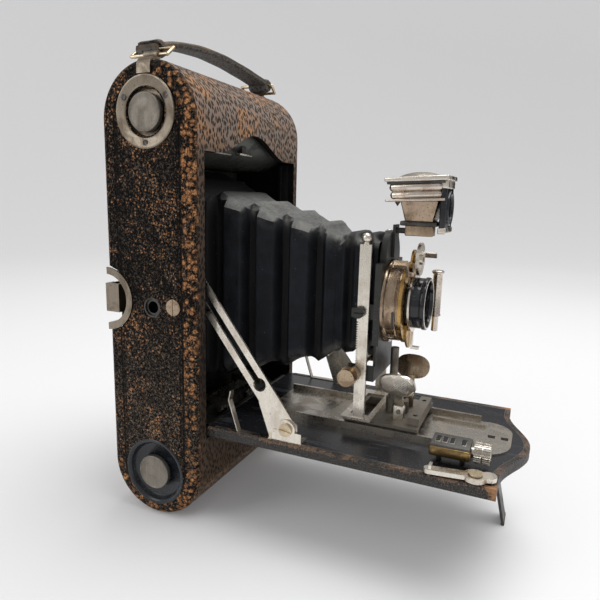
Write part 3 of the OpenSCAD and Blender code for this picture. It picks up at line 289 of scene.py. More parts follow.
def cloth(name):
    """Bellows cloth: blue-black with a fine leather grain, painted lighter grey and wrinkled where it faces up as
    light from above, paler on the fold crests, with painted shade that makes it nearly black in the valleys and
    inside the case, and with dust."""
    p = Paint(name, Specular_IOR_Level=0.22)
    grain = p.cells(1500, "F1")
    soft = p.noise(120, 4, 0.6, 0.3)
    wrinkle = p.noise(1, 4, 0.65, 0.8, at=p.mapped((260, 900, 260)))
    dust = p.span(p.cells(230, "F1"), 0.055, 0.03)
    normal = p.node("NewGeometry").outputs["Normal"]
    # painted light: cloth that faces up gets the lighter grey top colour, as light from above
    up = p.span(p.axes(normal)[2], 0.3, 0.8)
    crest = p.node("Attribute", attribute_name="crest").outputs["Fac"]
    valley = p.node("Attribute", attribute_name="valley").outputs["Fac"]
    # painted shade: the cloth inside the case is painted nearly black
    inside = p.span(p.axes()[1], CASE_Y - 0.030, CASE_Y - 0.021)
    side = p.mix(p.span(soft, 0.35, 0.7), (0.0028, 0.0036, 0.0056), (0.0085, 0.0105, 0.0145))
    creased = p.span(p.add(p.mul(soft, 0.5), p.mul(wrinkle, 0.5)), 0.36, 0.62)
    top = p.mix(creased, (0.075, 0.075, 0.071), (0.158, 0.158, 0.148))
    colour = p.mix(up, side, top)
    colour = p.mix(p.mul(crest, p.span(soft, 0.3, 0.62)), colour, (0.17, 0.168, 0.155))
    # painted shade: nearly black in the fold valleys
    colour = p.mix(p.mul(valley, 0.8), colour, (0.0008, 0.001, 0.0014))
    colour = p.mix(p.mul(inside, 0.93), colour, (0.0025, 0.0025, 0.003))
    p.set(Base_Color=p.mix(p.mul(dust, 0.4), colour, (0.3, 0.3, 0.29)))
    p.set(Roughness=p.add(0.5, p.mul(soft, 0.22)))
    p.bump(p.add(p.mul(grain, 0.6), p.add(p.mul(soft, 0.9), p.mul(wrinkle, 0.5))), 0.00022, 0.8)
    return p.material


def hide(name, top, under, rub):
    """Strap leather: smooth and rubbed above, pebbled grey-black below."""
    p = Paint(name, Specular_IOR_Level=0.4)
    normal = p.node("NewGeometry").outputs["Normal"]
    below = p.span(p.axes(normal)[2], 0.1, -0.35)
    pebble = p.span(p.cells(620, "F1"), 0.12, 0.6)
    soft = p.noise(140, 4, 0.62, 0.4)
    upper = p.mix(p.span(soft, 0.4, 0.7), top, rub)
    lower = p.mix(pebble, tuple(0.12 * v for v in under), under)
    p.set(Base_Color=p.mix(below, upper, lower))
    p.set(Roughness=p.add(0.48, p.mul(soft, 0.25)))
    p.bump(p.add(p.mul(pebble, p.add(0.3, below)), p.mul(soft, 0.5)), 0.0003, 0.7)
    return p.material


def wood(name):
    """Wood stained black: long grain, dark pores."""
    p = Paint(name, Specular_IOR_Level=0.12)
    rings = p.noise(1, 4, 0.6, 1.2, at=p.mapped((40, 420, 420)))
    colour = p.mix(p.span(rings, 0.35, 0.7), (0.004, 0.0037, 0.0035), (0.013, 0.011, 0.0095))
    p.set(Base_Color=colour, Roughness=p.add(0.55, p.mul(rings, 0.2)))
    p.bump(rings, 0.0001)
    return p.material


def glass(name, tint, rough=0.03):
    """Old glass: clear, faintly hazed where it has been wiped."""
    p = Paint(name, Base_Color=tint, Transmission_Weight=1.0, IOR=1.47, Coat_Weight=0.15)
    haze = p.noise(170, 3, 0.6, 0.8)
    p.set(Roughness=p.span(haze, 0.4, 0.8, rough, rough + 0.1))
    return p.material


MAT = {
    "leather": case_leather("leather"),
    "bed_leather": bed_hide("bed_leather"),
    "wood": wood("case_wood"),
    "sheet": metal("dark_sheet", (0.07, 0.07, 0.06), (0.03, 0.031, 0.028), (0.012, 0.012, 0.011), 0.42, 0.8, 0.45),
    "nickel": metal("nickel", (0.56, 0.52, 0.46), (0.34, 0.28, 0.21), (0.08, 0.06, 0.045), 0.26, 0.6),
    "plate": metal("ring_nickel", (0.3, 0.255, 0.2), (0.15, 0.115, 0.08), (0.045, 0.032, 0.022), 0.34, 0.85),
    "satin": metal("satin_nickel", (0.27, 0.245, 0.21), (0.2, 0.175, 0.145), (0.08, 0.07, 0.06), 0.5, 0.5),
    "pale": metal("pale_nickel", (0.74, 0.69, 0.61), (0.56, 0.48, 0.38), (0.16, 0.12, 0.08), 0.24, 0.45),
    "dark": metal("dark_metal", (0.1, 0.095, 0.09), (0.05, 0.046, 0.042), (0.02, 0.018, 0.016), 0.36, 0.6),
    "brass": metal("brass", (0.46, 0.29, 0.1), (0.25, 0.14, 0.05), (0.06, 0.036, 0.018), 0.26, 0.75),
    "wire": metal("brassy_nickel", (0.66, 0.56, 0.4), (0.42, 0.31, 0.18), (0.1, 0.07, 0.04), 0.26, 0.6),
    "bronze": metal("bronze", (0.42, 0.32, 0.22), (0.2, 0.13, 0.08), (0.04, 0.028, 0.02), 0.24, 0.8),
    "enamel": enamel("enamel", (0.013, 0.0135, 0.016), (0.075, 0.08, 0.09), 0.24),
    "lacquer": enamel("black_paint", (0.008, 0.009, 0.012), (0.05, 0.06, 0.075), 0.12),
    "dull": enamel("dull_black", (0.012, 0.012, 0.01), (0.05, 0.048, 0.038), 0.42),
    "bellows": cloth("bellows_cloth"),
    "strap": hide("strap_leather", (0.042, 0.029, 0.018), (0.125, 0.118, 0.108), (0.12, 0.08, 0.048)),
    "glass": glass("glass", (0.93, 0.96, 0.98)),
    "ruby": glass("red_glass", (0.55, 0.02, 0.012)),
    "chrome": metal("warm_chrome", (0.64, 0.57, 0.5), (0.4, 0.3, 0.22), (0.07, 0.05, 0.04), 0.16, 0.6),
    "rosy": metal("rosy_nickel", (0.38, 0.29, 0.21), (0.15, 0.095, 0.055), (0.05, 0.035, 0.025), 0.18, 0.8),
    "gilt": metal("gilt_edges", (0.34, 0.23, 0.1), (0.12, 0.08, 0.042), (0.04, 0.03, 0.02), 0.28, 0.8),
    "top_grey": metal("scale_top", (0.13, 0.125, 0.115), (0.09, 0.085, 0.078), (0.04, 0.038, 0.035), 0.5, 0.6, 0.6),
    "cup": enamel("cup_enamel", (0.012, 0.014, 0.018), (0.045, 0.055, 0.07), 0.24),
    # near-black paint that stands for shade in hollows and gaps
    "void": enamel("painted_shade_black", (0.003, 0.003, 0.0035), (0.01, 0.01, 0.011), 0.6),
    "scuffed": enamel("scuffed_edge", (0.1, 0.095, 0.085), (0.24, 0.22, 0.19), 0.4),
    "dark_glass": enamel("dark_glass", (0.006, 0.007, 0.01), (0.03, 0.035, 0.045), 0.05),
}

LOOK = {
    "leather": "body_leather back_leather",
    "bed_leather": "bed_leather",
    "wood": "body_shell back_cover take_up_spool supply_spool",
    "sheet": "upper_chamber_wall lower_chamber_wall film_gate",
    "plate": "ring_plate latch_ring window_ring back_latch strap_brackets",
    "satin": "upper_knob lower_knob carriage",
    "nickel": "scale_wheel strut_springs foot_pin hinge_pin upper_roller lower_roller winding_key key_handle "
              "key_bush track",
    "pale": "struts strut_brackets lens_frame speed_dial aperture_pointer focus_lever near_grip cocking_lever",
    "dark": "hinge_leaves tripod_bush iris foot",
    "wire": "strap_loops case_screws bed_screws air_cylinder",
    "bronze": "shutter_case finder pinion release_lever far_grip",
    "brass": "shutter_face scale_box",
    "enamel": "bed_plate lower_cup",
    "lacquer": "lens_barrel",
    "dull": "lens_board",
    "glass": "lens_glass",
    "ruby": "red_window",
    "bellows": "bellows bellows_front",
    "strap": "strap",
}


def dress(obj, name):
    obj.data.materials.clear()
    obj.data.materials.append(MAT[name])


for look, names in LOOK.items():
    for node in names.split():
        dress(NODES[node], look)


def smooth(obj, angle=35):
    obj.data.shade_smooth()
    obj.data.set_sharp_from_angle(angle=math.radians(angle))


# ---------------------------------------------------------------- pieces


def piece(name, points, faces, look, body=None):
    mesh = bpy.data.meshes.new(name)
    mesh.from_pydata([row(*p) for p in points], [], faces)
    mesh.validate()
    made = bpy.data.objects.new(name, mesh)
    bpy.context.scene.collection.objects.link(made)
    work = bmesh.new()
    work.from_mesh(mesh)
    bmesh.ops.recalc_face_normals(work, faces=work.faces)
    work.to_mesh(mesh)
    work.free()
    dress(made, look)
    smooth(made)
    if body:
        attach(made, body)
    return made


def grid_faces(rows, cols, closed=True):
    """Quads over a grid of points, one ring of points after another."""
    faces = []
    for i in range(rows - 1):
        for j in range(cols if closed else cols - 1):
            k = (j + 1) % cols
            faces.append((i * cols + j, i * cols + k, (i + 1) * cols + k, (i + 1) * cols + j))
    return faces


def line(at, table):
    """Value at `at` on a line through the (place, value) pairs."""
    xs, ys = zip(*sorted(table))
    return float(np.interp(at, xs, ys))


def fold_ring(y, half, low, high, top_out, side_out, radius, count=88):
    """One closed ring of a bellows: a rounded oblong whose top and sides stand out by their own amounts.
    Also gives how near each of its points is to the middle of a corner, from 0 to 1."""
    ring, corners = [], []
    tall, mid = (high - low) / 2, (high + low) / 2
    w, h = half - radius, tall - radius
    for k in range(count):
        a = 2 * math.pi * (k + 0.5) / count
        c, s = math.cos(a), math.sin(a)
        # the point where this ray leaves the plain oblong, moved onto the arc if it lies in a corner
        reach = 1 / max(abs(c) / half, abs(s) / tall)
        px, pz = c * reach, s * reach
        cx, cz = max(-w, min(w, px)), max(-h, min(h, pz))
        dx, dz = px - cx, pz - cz
        d = math.hypot(dx, dz) or 1.0
        nx, nz = dx / d, dz / d
        if d > 1e-6 and abs(dx) > 1e-6 and abs(dz) > 1e-6:
            px, pz = cx + nx * radius, cz + nz * radius
        share = nz * nz
        out = top_out * share + side_out * (1 - share)
        ring.append((px + nx * out, y, mid + pz + nz * out))
        corners.append(4 * share * (1 - share))
    return ring, corners


def step(u, back=0.3, soft=0.06):
    """Height of a fold that rises steeply over the share `back` of a pitch and falls slowly over the rest."""
    f = u - math.floor(u)
    t = 1 - f / (1 - back) if f < 1 - back else (f - 1 + back) / back
    if t <= soft:
        return soft * (t / soft) ** 1.3
    if t >= 1 - soft:
        return 1 - soft * ((1 - t) / soft) ** 1.3
    return t


def fold(u, flat, valley):
    """Height of a fold, 0 in the valley and 1 on the crest, which lies at whole numbers of u."""
    tri = 1 - 2 * abs(u - round(u))
    t = max(0.0, min(1.0, (tri - valley) / (1 - valley - flat)))
    return t * t * (3 - 2 * t)


BELLOWS_HIGH = [(16.5, 190), (-22, 176), (-100, 155.5)]
BELLOWS_LOW = [(16.5, 50), (-22, 76), (-100, 95)]
BELLOWS_HALF = [(16.5, 43), (-22, 31), (-100, 17.5)]
SEAM_Y = -86.0  # where the long bellows meets the short one of the rising front
SEAM = (line(SEAM_Y, BELLOWS_HALF) - 2.2, line(SEAM_Y, BELLOWS_LOW) + 2.0, line(SEAM_Y, BELLOWS_HIGH) - 2.4)


def folded(name, rings, body=None):
    """A skin through closed rings, each given as (points, crest values, valley values)."""
    points = [p for ring in rings for p in ring[0]]
    made = piece(name, points, grid_faces(len(rings), len(rings[0][0])), "bellows", body)
    # the valley layer holds how much painted shade the cloth gets in its fold valleys
    for index, layer_name in ((1, "crest"), (2, "valley")):
        layer = made.data.attributes.new(layer_name, "FLOAT", "POINT")
        values = [v for ring in rings for v in ring[index]]
        layer.data.foreach_set("value", np.clip(values, 0, 1).astype(np.float32))
    made.data.shade_smooth()
    return made


def make_bellows():
    rear, pitch, first, steps = 16.5, 18.3, -22.0, 190
    proud, top_fold, side_fold, end_zone = 2, 5.4, 6.2, 7
    rings = []
    for i in range(steps + 1):
        y = rear + (SEAM_Y - rear) * i / steps
        u = (first - y) / pitch
        top, side = step(u), fold(u + 0.5, 0.46, 0.16)
        fade = min(1.0, (rear - y) / 6, (y - SEAM_Y) / end_zone)
        half, low, high = line(y, BELLOWS_HALF), line(y, BELLOWS_LOW), line(y, BELLOWS_HIGH)
        radius = min(7.5, half * 0.4)
        if y < SEAM_Y + end_zone:
            half, low, high = (a + (b - a) * (1 - fade) for a, b in zip((half, low, high), SEAM))
        top_out, side_out = proud - top_fold * (1 - top), proud - side_fold * (1 - side)
        ring, corners = fold_ring(y, half, low, high, fade * top_out, fade * side_out, radius)
        sag = [0.14 * math.sin(pz * 0.11 + y * 0.5) for _, _, pz in ring]
        ring = [(px + a * (1 if px > 0 else -1), py, pz + 0.8 * a) for (px, py, pz), a in zip(ring, sag)]
        crest, valley = [], []
        for (_, _, pz), corner in zip(ring, corners):
            at_corner = 0.6 * corner * max(top, side) ** 3
            at_ridge = 0.45 * top ** 8 if pz > high - 5 else 0
            at_hem = 0.3 * max(0.0, 1 - abs(pz - (low + 1)) / 3) * side
            crest.append(at_corner + at_ridge + at_hem)
            # painted shade: strongest in the valleys of the side folds, fading out near the top
            valley.append((1 - side) * min(1, max(0, (high - 3 - pz) / 6)))
        rings.append((ring, crest, valley))
    made = folded("bellows_folds", rings, "case")
    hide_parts("bellows")
    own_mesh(made)
    return made


def make_front_bellows():
    rear, front, steps = SEAM_Y - 0.15, -107.9, 72
    half = [(rear, SEAM[0]), (-91, 19.6), (-97, 16.8), (front, 16.3)]
    low = [(rear, SEAM[1]), (-91, 94), (front, 97)]
    high = [(rear, SEAM[2]), (-91, 158.5), (front, 158)]
    rings = []
    for i in range(steps + 1):
        y = rear + (front - rear) * i / steps
        u = (-93.5 - y) / 9.2
        start = min(1.0, (rear - y) / 2.5)
        top, side = fold(u, 0.3, 0.02), fold(u + 0.5, 0.3, 0.08)
        top_out, side_out = 0.4 - 4.2 * (1 - top), -2.6 * (1 - side)
        ring, corners = fold_ring(
            y, line(y, half), line(y, low), line(y, high), start * top_out, start * side_out, 7.5)
        # the last list is painted shade in the valleys of the side folds, fading in from the seam
        rings.append((ring, [k * max(top, side) ** 3 for k in corners], [(1 - side) * start] * len(ring)))
    made = folded("front_folds", rings)
    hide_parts("bellows_front")
    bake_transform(made)
    return made


def make_strap():
    """A carrying strap with a soft rounded section, rolled round its wire loop at each end."""
    rise, skew, end, roll, roll_z = 6.0, 0.35, 49.4, 2.6, 246
    half, thick, sides = 7.0, 1.75, 28

    def height(x):
        u = x / end
        return roll_z + 0.2 + rise * (1 - u * u) * (1 - skew * u)

    def round_roll(side, k):
        """Place and direction of step k of the roll at one end; step 0 meets the arch."""
        a = math.radians((52 if side > 0 else 128) - 22 * k)
        across, up = math.cos(a), math.sin(a)
        return side * end + roll * across, roll_z + roll * up, side * up, -side * across

    path = [round_roll(-1, k) for k in range(15, -1, -1)]
    for k in range(41):
        x = -end + 1.5 + (2 * end - 3) * k / 40
        slope = (height(x + 0.1) - height(x - 0.1)) / 0.2
        n = math.hypot(1, slope)
        path.append((x, height(x) + 1.6 * min(1, (end - abs(x)) / 4 + 0.4) - 0.4, 1 / n, slope / n))
    path += [round_roll(1, k) for k in range(16)]
    section = []
    for k in range(sides):
        a = 2 * math.pi * k / sides
        c, s = math.cos(a), math.sin(a)
        section.append((half * math.copysign(abs(c) ** 0.35, c), thick * math.copysign(abs(s) ** 0.7, s)))
    turn, points = Matrix.Rotation(math.radians(-5), 4, "Z"), []
    for i, (x, z, tx, tz) in enumerate(path):
        wave = 1 + 0.06 * math.sin(i * 0.7)
        for v, w in section:
            lift = w * wave - 0.35 * (v / half) ** 2
            points.append(tuple(turn @ Vector((x - tz * lift, v, z + tx * lift))))
    rows = len(path)
    faces = grid_faces(rows, sides)
    faces += [tuple(range(sides)), tuple(range((rows - 1) * sides, rows * sides))]
    made = piece("strap_band", points, faces, "strap", "case")
    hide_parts("strap")
    return made


class Shape:
    """Several solids in one mesh, in the case's frame and millimetres, each with its own look."""

    def __init__(self):
        self.points, self.faces, self.index, self.looks = [], [], [], []
        self.turn = Matrix.Identity(4)

    def add(self, points, faces, look):
        if look not in self.looks:
            self.looks.append(look)
        base = len(self.points)
        self.points += [tuple(self.turn @ Vector(p)) for p in points]
        self.faces += [tuple(base + i for i in face) for face in faces]
        self.index += [self.looks.index(look)] * len(faces)

    def solid(self, low, high, look, bevel=0.4):
        """A prismoid with rounded edges: `low` and `high` are (x0, x1, y0, y1, z) of its two ends."""
        work = bmesh.new()
        bmesh.ops.create_cube(work, size=2)
        for v in work.verts:
            x0, x1, y0, y1, z = high if v.co.z > 0 else low
            v.co = ((x0 if v.co.x < 0 else x1), (y0 if v.co.y < 0 else y1), z)
        bmesh.ops.bevel(work, geom=work.edges[:], offset=bevel, segments=3, profile=0.5, affect="EDGES")
        work.verts.index_update()
        self.add([v.co.copy() for v in work.verts], [[v.index for v in f.verts] for f in work.faces], look)
        work.free()

    def box(self, x0, x1, y0, y1, z0, z1, look, bevel=0.4):
        self.solid((x0, x1, y0, y1, z0), (x0, x1, y0, y1, z1), look, bevel)

    def lathe(self, centre, axis, profile, look, ring=False, count=64, soft=0.15):
        """Revolves (distance along the axis, radius) pairs, with every corner cut by `soft`."""
        table = []
        for k, (t, r) in enumerate(profile):
            around = [profile[k - 1], profile[(k + 1) % len(profile)]]
            if not ring and k in (0, len(profile) - 1):
                table.append((t, r))
                continue
            for t2, r2 in around:
                far = math.hypot(t2 - t, r2 - r) or 1.0
                share = min(soft, far / 2.1) / far
                table.append((t + (t2 - t) * share, r + (r2 - r) * share))
        a = Vector(axis).normalized()
        u = a.orthogonal().normalized()
        v = a.cross(u)
        angles = [2 * math.pi * j / count for j in range(count)]
        spokes = [u * math.cos(g) + v * math.sin(g) for g in angles]
        points = [Vector(centre) + a * t + spoke * max(r, 0.01) for t, r in table for spoke in spokes]
        faces = grid_faces(len(table), count)
        last = (len(table) - 1) * count
        if ring:
            faces += [(last + j, last + (j + 1) % count, (j + 1) % count, j) for j in range(count)]
        else:
            faces += [tuple(range(count)), tuple(range(last, last + count))]
        self.add(points, faces, look)

    def prism(self, outline, place, axis, depth, look):
        """A flat outline of (u, v) pairs round `place`, drawn out along the axis, with a fine chamfer."""
        a = Vector(axis).normalized()
        up = Vector((0, 0, 1)) if abs(a.z) < 0.9 else Vector((0, 1, 0))
        u = up.cross(a).normalized()
        n, points = len(outline), []
        for t, shrink in ((0, 0.0), (depth - 0.12, 0.0), (depth, 0.12)):
            for x, y in outline:
                d = math.hypot(x, y) or 1.0
                points.append(Vector(place) + a * t + (u * x + up * y) * (1 - shrink / d))
        faces = grid_faces(3, n) + [tuple(range(n)), tuple(range(2 * n, 3 * n))]
        self.add(points, faces, look)

    def done(self, name, slot, body, *nodes):
        made = piece(name, self.points, self.faces, self.looks[0], body)
        for look in self.looks[1:]:
            made.data.materials.append(MAT[look])
        made.data.polygons.foreach_set("material_index", self.index)
        if nodes:
            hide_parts(*nodes)
        return made


LENS_Z, FACE_Y, TOP_AXIS, LOW_AXIS = 122.5, -120.4, 214.8, 25.2
NEAR, FAR, FRONT, BACK, UP = (-1, 0, 0), (1, 0, 0), (0, -1, 0), (0, 1, 0), (0, 0, 1)


def half_disc(r, slot, turn, side):
    """Outline of one half of a slotted screw head."""
    start = math.asin(slot / r)
    found = []
    for k in range(25):
        a = start + (math.pi - 2 * start) * k / 24
        x, y = r * math.cos(a), side * r * math.sin(a)
        found.append((x * math.cos(turn) - y * math.sin(turn), x * math.sin(turn) + y * math.cos(turn)))
    return found if side > 0 else found[::-1]


def screw(shape, place, axis, r, proud, slot, turn, look):
    base = Vector(place) - Vector(axis) * 1.0
    shape.lathe(base, axis, [(0, r), (0.9 + proud * 0.3, r)], look, count=40)
    for side in (1, -1):
        shape.prism(half_disc(r, slot, turn, side), Vector(place) - Vector(axis) * 0.3, axis, proud + 0.3, look)


def make_side_trim():
    dish = [(0, 17.7), (0.75, 17.6), (0.95, 17.1), (0.8, 16.3), (0.35, 13.6), (0.15, 12.3), (-0.9, 11.6),
            (-3.0, 11.4), (-3.0, 2.6), (-3.9, 2.6), (-3.9, 11.5), (-1.0, 11.9)]
    far_dish = dish[:6] + [(-0.9, 11.6), (-1.0, 11.9)]
    trim = Shape()
    trim.lathe((-HALF_W, 0, TOP_AXIS), NEAR, dish, "plate", ring=True, soft=0.25)
    trim.lathe((HALF_W, 0, TOP_AXIS), FAR, far_dish, "plate", ring=True, soft=0.2)
    trim.done("spool_plates", "nickel", "case", "ring_plate")
    cup = Shape()
    bowl = [(0, 18.9), (0.5, 18.8), (0.7, 18.1), (0.45, 17.2), (-0.4, 16.4), (-3.0, 15.4), (-3.0, 2.6),
            (-3.9, 2.6), (-3.9, 16.6), (-1, 17.1)]
    cup.lathe((-HALF_W, 0, LOW_AXIS), NEAR, bowl, "cup", ring=True, soft=0.3)
    cup.done("lower_dish", "dark_metal", "case", "lower_cup")
    shaft_and_head = [(-17.5, 0), (-17.5, 2.2), (-1.6, 2.2), (-1.6, 9.4), (0.9, 9.5), (1.4, 9.1), (1.35, 8.75),
                      (1.0, 8.4), (0.95, 6.0), (1.05, 0)]
    for name, z, slot in (("upper", TOP_AXIS, "nickel"), ("lower", LOW_AXIS, "dark_metal")):
        knob = Shape()
        knob.lathe((-HALF_W, 0, z), NEAR, shaft_and_head, "satin", soft=0.12)
        knob.done(name + "_pull_knob", slot, name + "_pull", name + "_knob")
    screws = Shape()
    for side in (-1, 1):
        out = (side, 0, 0)
        screw(screws, (side * HALF_W, -14.3, 118.9), out, 4.3, 0.3, 0.42, math.radians(90), "rosy")
        for a in (-90, 30, 150):
            a = math.radians(a)
            y, z = 14.6 * math.cos(a), TOP_AXIS + 14.6 * math.sin(a)
            screw(screws, (side * HALF_W, y, z), out, 1.6, 0.75, 0.22, 0.7 + a, "dark")
    screws.done("side_screws", "bronze", "case", "case_screws")


def make_finder():
    """Brilliant finder: mirror body under a beaded hood, lens plate in front, domed viewing glass on top."""
    f = Shape()
    f.box(-3.4, 3.4, -132, -117.6, 157.6, 163.4, "bronze", 0.5)
    f.box(-5.8, 5.8, -134.4, -115.4, 162.8, 165.2, "dark", 0.6)
    f.solid((-7, 7, -132.4, -118.2, 165), (-9.4, 9.4, -135, -115.6, 175.8), "rosy", 0.8)
    f.lathe((-3, -113, 175.8), (0, 0, -1), [(0, 2.6), (1.4, 1.5), (3.4, 0)], "chrome", soft=0.1, count=24)
    hood = Matrix.Translation((0, -123, 180))
    f.turn = hood @ Matrix.Rotation(math.radians(-2.6), 4, "X") @ hood.inverted()
    f.box(-12.8, 12.8, -138, -108.6, 175.2, 176.5, "chrome", 0.5)
    f.box(-11.6, 11.6, -136.4, -110.6, 176.4, 180.3, "chrome", 1.8)
    f.box(-12, 12, -136.8, -110.2, 180, 184.3, "chrome", 1.95)
    f.box(-12.2, 12.2, -138, -109.4, 183.7, 185.2, "dark", 0.4)
    f.box(-13.2, 13.2, -140, -108.4, 184.9, 187.2, "pale", 0.55)
    dome = [(0, 11.2), (0.9, 10.2), (1.9, 7.6), (2.6, 4.4), (2.9, 0)]
    f.lathe((0, -123.6, 186.9), UP, dome, "satin", soft=0.5)
    f.turn = Matrix.Identity(4)
    f.box(-10.2, 10.2, -138.8, -135.6, 160, 185.4, "lacquer", 1.1)
    f.box(-10.6, 10.6, -139.2, -135.2, 159.6, 162.6, "pale", 0.7)
    f.box(-10.6, 10.6, -139.2, -135.2, 181.6, 185.6, "pale", 0.7)
    rim = [(0, 8.6), (1.1, 8.5), (1.4, 8.0), (1.2, 7.0), (0.2, 6.4), (0, 6.4)]
    f.lathe((0, -138.4, 172), FRONT, rim, "lacquer", ring=True)
    f.lathe((0, -138.2, 172), FRONT, [(0, 6.8), (0.5, 6.4), (1.0, 4.2), (1.2, 0)], "dark_glass", soft=0.5)
    f.done("brilliant_finder", "bronze", "view_finder", "finder")


def make_shutter():
    shutter_y, board_y = -111.6, -108.2
    case = Shape()
    drum = [(0, 9), (0, 22.4), (1.5, 22.3), (1.8, 21.3), (2.3, 21.0), (6.9, 21.0), (7.0, 20.5), (7.6, 20.5),
            (7.7, 21.0), (8.6, 21.0), (8.8, 20.5), (8.8, 9)]
    case.lathe((0, shutter_y, LENS_Z), FRONT, drum, "rosy", ring=True, soft=0.18)
    case.box(-21.8, -20.2, -118.6, -117.5, 114, 120.5, "dark", 0.3)
    case.done("shutter_body", "bronze", "front", "shutter_case")
    barrel = Shape()
    tube = [(0, 13.3), (0.5, 13.3), (0.8, 12.9), (1.2, 13.3), (6.9, 13.3), (7.1, 12.9), (7.4, 13.4), (7.7, 13.9),
            (9.3, 13.9), (9.8, 13.3), (9.7, 12.3), (7.9, 11.9), (3.9, 11.75), (3.8, 7.5), (0, 7.4)]
    bright_rim = [(0, 13.2), (0.2, 13.1), (0.2, 12.5), (0, 12.4)]
    rear_cell = [(-14, 7.4), (-14, 8.8), (0, 8.8), (0, 13), (6, 13), (6, 7.4)]
    barrel.lathe((0, FACE_Y - 1.8, LENS_Z), FRONT, tube, "lacquer", ring=True, soft=0.2)
    barrel.lathe((0, FACE_Y - 11.5, LENS_Z), FRONT, bright_rim, "pale", ring=True, soft=0.05)
    barrel.lathe((0, board_y, LENS_Z), BACK, rear_cell, "lacquer", ring=True)
    barrel.done("front_barrel", "black_paint", "front", "lens_barrel")
    pump = Shape()
    x, y = 17.8, FACE_Y - 12.1
    cylinder = [(0, 0), (0, 1.8), (8.4, 1.8), (8.5, 2.9), (9.4, 2.9), (9.6, 2.6), (31.8, 2.6), (32.2, 3.3),
                (33.4, 3.4), (33.9, 2.6), (33.9, 0)]
    pump.lathe((x, y, LENS_Z - 18), UP, cylinder, "chrome", soft=0.2, count=40)
    for z in (LENS_Z - 6, LENS_Z + 4):
        pump.box(x - 1.4, x + 1.4, y, FACE_Y - 1.8, z, z + 1.6, "chrome", 0.4)
    pump.done("air_pump", "bronze", "front", "air_cylinder")


def make_scale():
    x, rear, drum_z = -32.5, -143.5, 60.6
    box = Shape()
    box.box(-40, -25, -162.5, -143.5, 58.2, 63.2, "gilt", 1.1)
    box.box(-39.4, -25.6, -162.1, -143.9, 62.6, 64.3, "top_grey", 0.6)
    for d in (2.4, 5.6, 8.9, 14.2):  # the reading windows
        box.box(x - 3.6, x + 3.6, rear - d - 2.2, rear - d + 0.3, 63.9, 64.36, "nickel", 0.1)
        # the black patch in each window is painted shade for the window's hollow
        box.box(x - 3.3, x + 3.3, rear - d - 2.0, rear - d + 0.1, 64.0, 64.4, "void", 0.1)
    for y in (-159.5, -148.5):
        box.box(x - 3, x + 3, y, y + 2, 54, 57.8, "dark", 0.4)
    box.done("scale_case", "brass", "case", "scale_box")
    wheel = Shape()
    ribs = []
    for k in range(96):
        r = 4.9 if k % 4 in (0, 1) else 4.5
        a = 2 * math.pi * k / 96
        ribs.append((r * math.cos(a), r * math.sin(a)))
    for y in (-167.5, -163.6):
        wheel.prism(ribs, (x, y, drum_z), FRONT, 3.3, "nickel")
    hub = [(0, 0), (0, 3), (0.5, 4.2), (7.4, 4.3), (7.5, 2.6), (26, 2.6), (26, 0)]
    wheel.lathe((x, -171.2, drum_z), BACK, hub, "nickel", soft=0.2, count=40)
    wheel.done("scale_knob", "pale_nickel", "scale", "scale_wheel")


def make_grip(name, side, look, slot, body, node, knurled):
    """A finger grip: block on the rod, stem, and oval pad, cross-cut on the near one, hollow on the far one."""
    g = Shape()
    mirror = Matrix.Scale(side, 4, FAR)
    g.turn = mirror
    g.box(8.5, 12, -125, -119, 60.4, 68.5, look, 0.6)
    g.turn = mirror @ Matrix.Translation((10, -122, 66.5)) @ Matrix.Rotation(math.radians(22), 4, "Y")
    g.box(-1, 1, -2.4, 2.4, 0, 12, look, 0.5)
    rows, cols = 38, 128
    pad_z, long, tall = 17.5, 9.6, 6.9
    front, back = [], []
    for i in range(rows + 1):
        k = i / rows
        dome = (0.9 if knurled else -0.7) * (1 - k * k)
        fade = max(0.0, min(1.0, (0.93 - k) / 0.06)) if knurled else 0.0
        for j in range(cols):
            a = 2 * math.pi * j / cols
            c, s = math.cos(a), math.sin(a)
            v = long * k * math.copysign(abs(c) ** 0.85, c)
            w = tall * k * math.copysign(abs(s) ** 0.85, s)
            cut = 0.15 * fade * (abs(math.sin((v + w) * 2.3)) + abs(math.sin((v - w) * 2.3)))
            front.append((2.4 + dome + cut - (0.5 if k == 1 else 0), v, pad_z + w))
            back.append((0.6 + 0.5 * k * k, v, pad_z + w))
    faces = grid_faces(rows + 1, cols)
    base = len(front)
    faces += [tuple(base + v for v in f) for f in faces]
    rim = rows * cols
    for j in range(cols):
        k = (j + 1) % cols
        faces.append((rim + j, rim + k, base + rim + k, base + rim + j))
    g.add(front + back, faces, look)
    g.done(name, slot, body, node)


def make_bed_border():
    """The leather's turned-over edge round the bed, a little proud of the enamel, with a fine pale line inside."""
    def outline(inset):
        half, front = 52.0 - inset, -175.5 + inset
        wave = [(x, front - 6 * (1 + math.cos(math.pi * x / 40))) for x in range(-38, 39, 2)]
        return [(-half, -33), (-half, front), (-40, front)] + wave + [(40, front), (half, front), (half, -33)]

    b = Shape()
    for a, c, z, look in ((0.05, 2.6, 54.45, "bed_leather"), (2.6, 3.1, 54.3, "scuffed")):
        outer, inner = outline(a), outline(c)
        mid = [((p[0] + q[0]) / 2, (p[1] + q[1]) / 2) for p, q in zip(outer, inner)]
        points = []
        for edge, height in ((outer, 54.02), (outer, z - 0.12), (mid, z), (inner, z - 0.12), (inner, 54.02)):
            points += [(px, py, height) for px, py in edge]
        faces = grid_faces(5, len(outer), closed=False)
        b.add(points, faces, look)
    b.done("bed_border", "leather", "case")


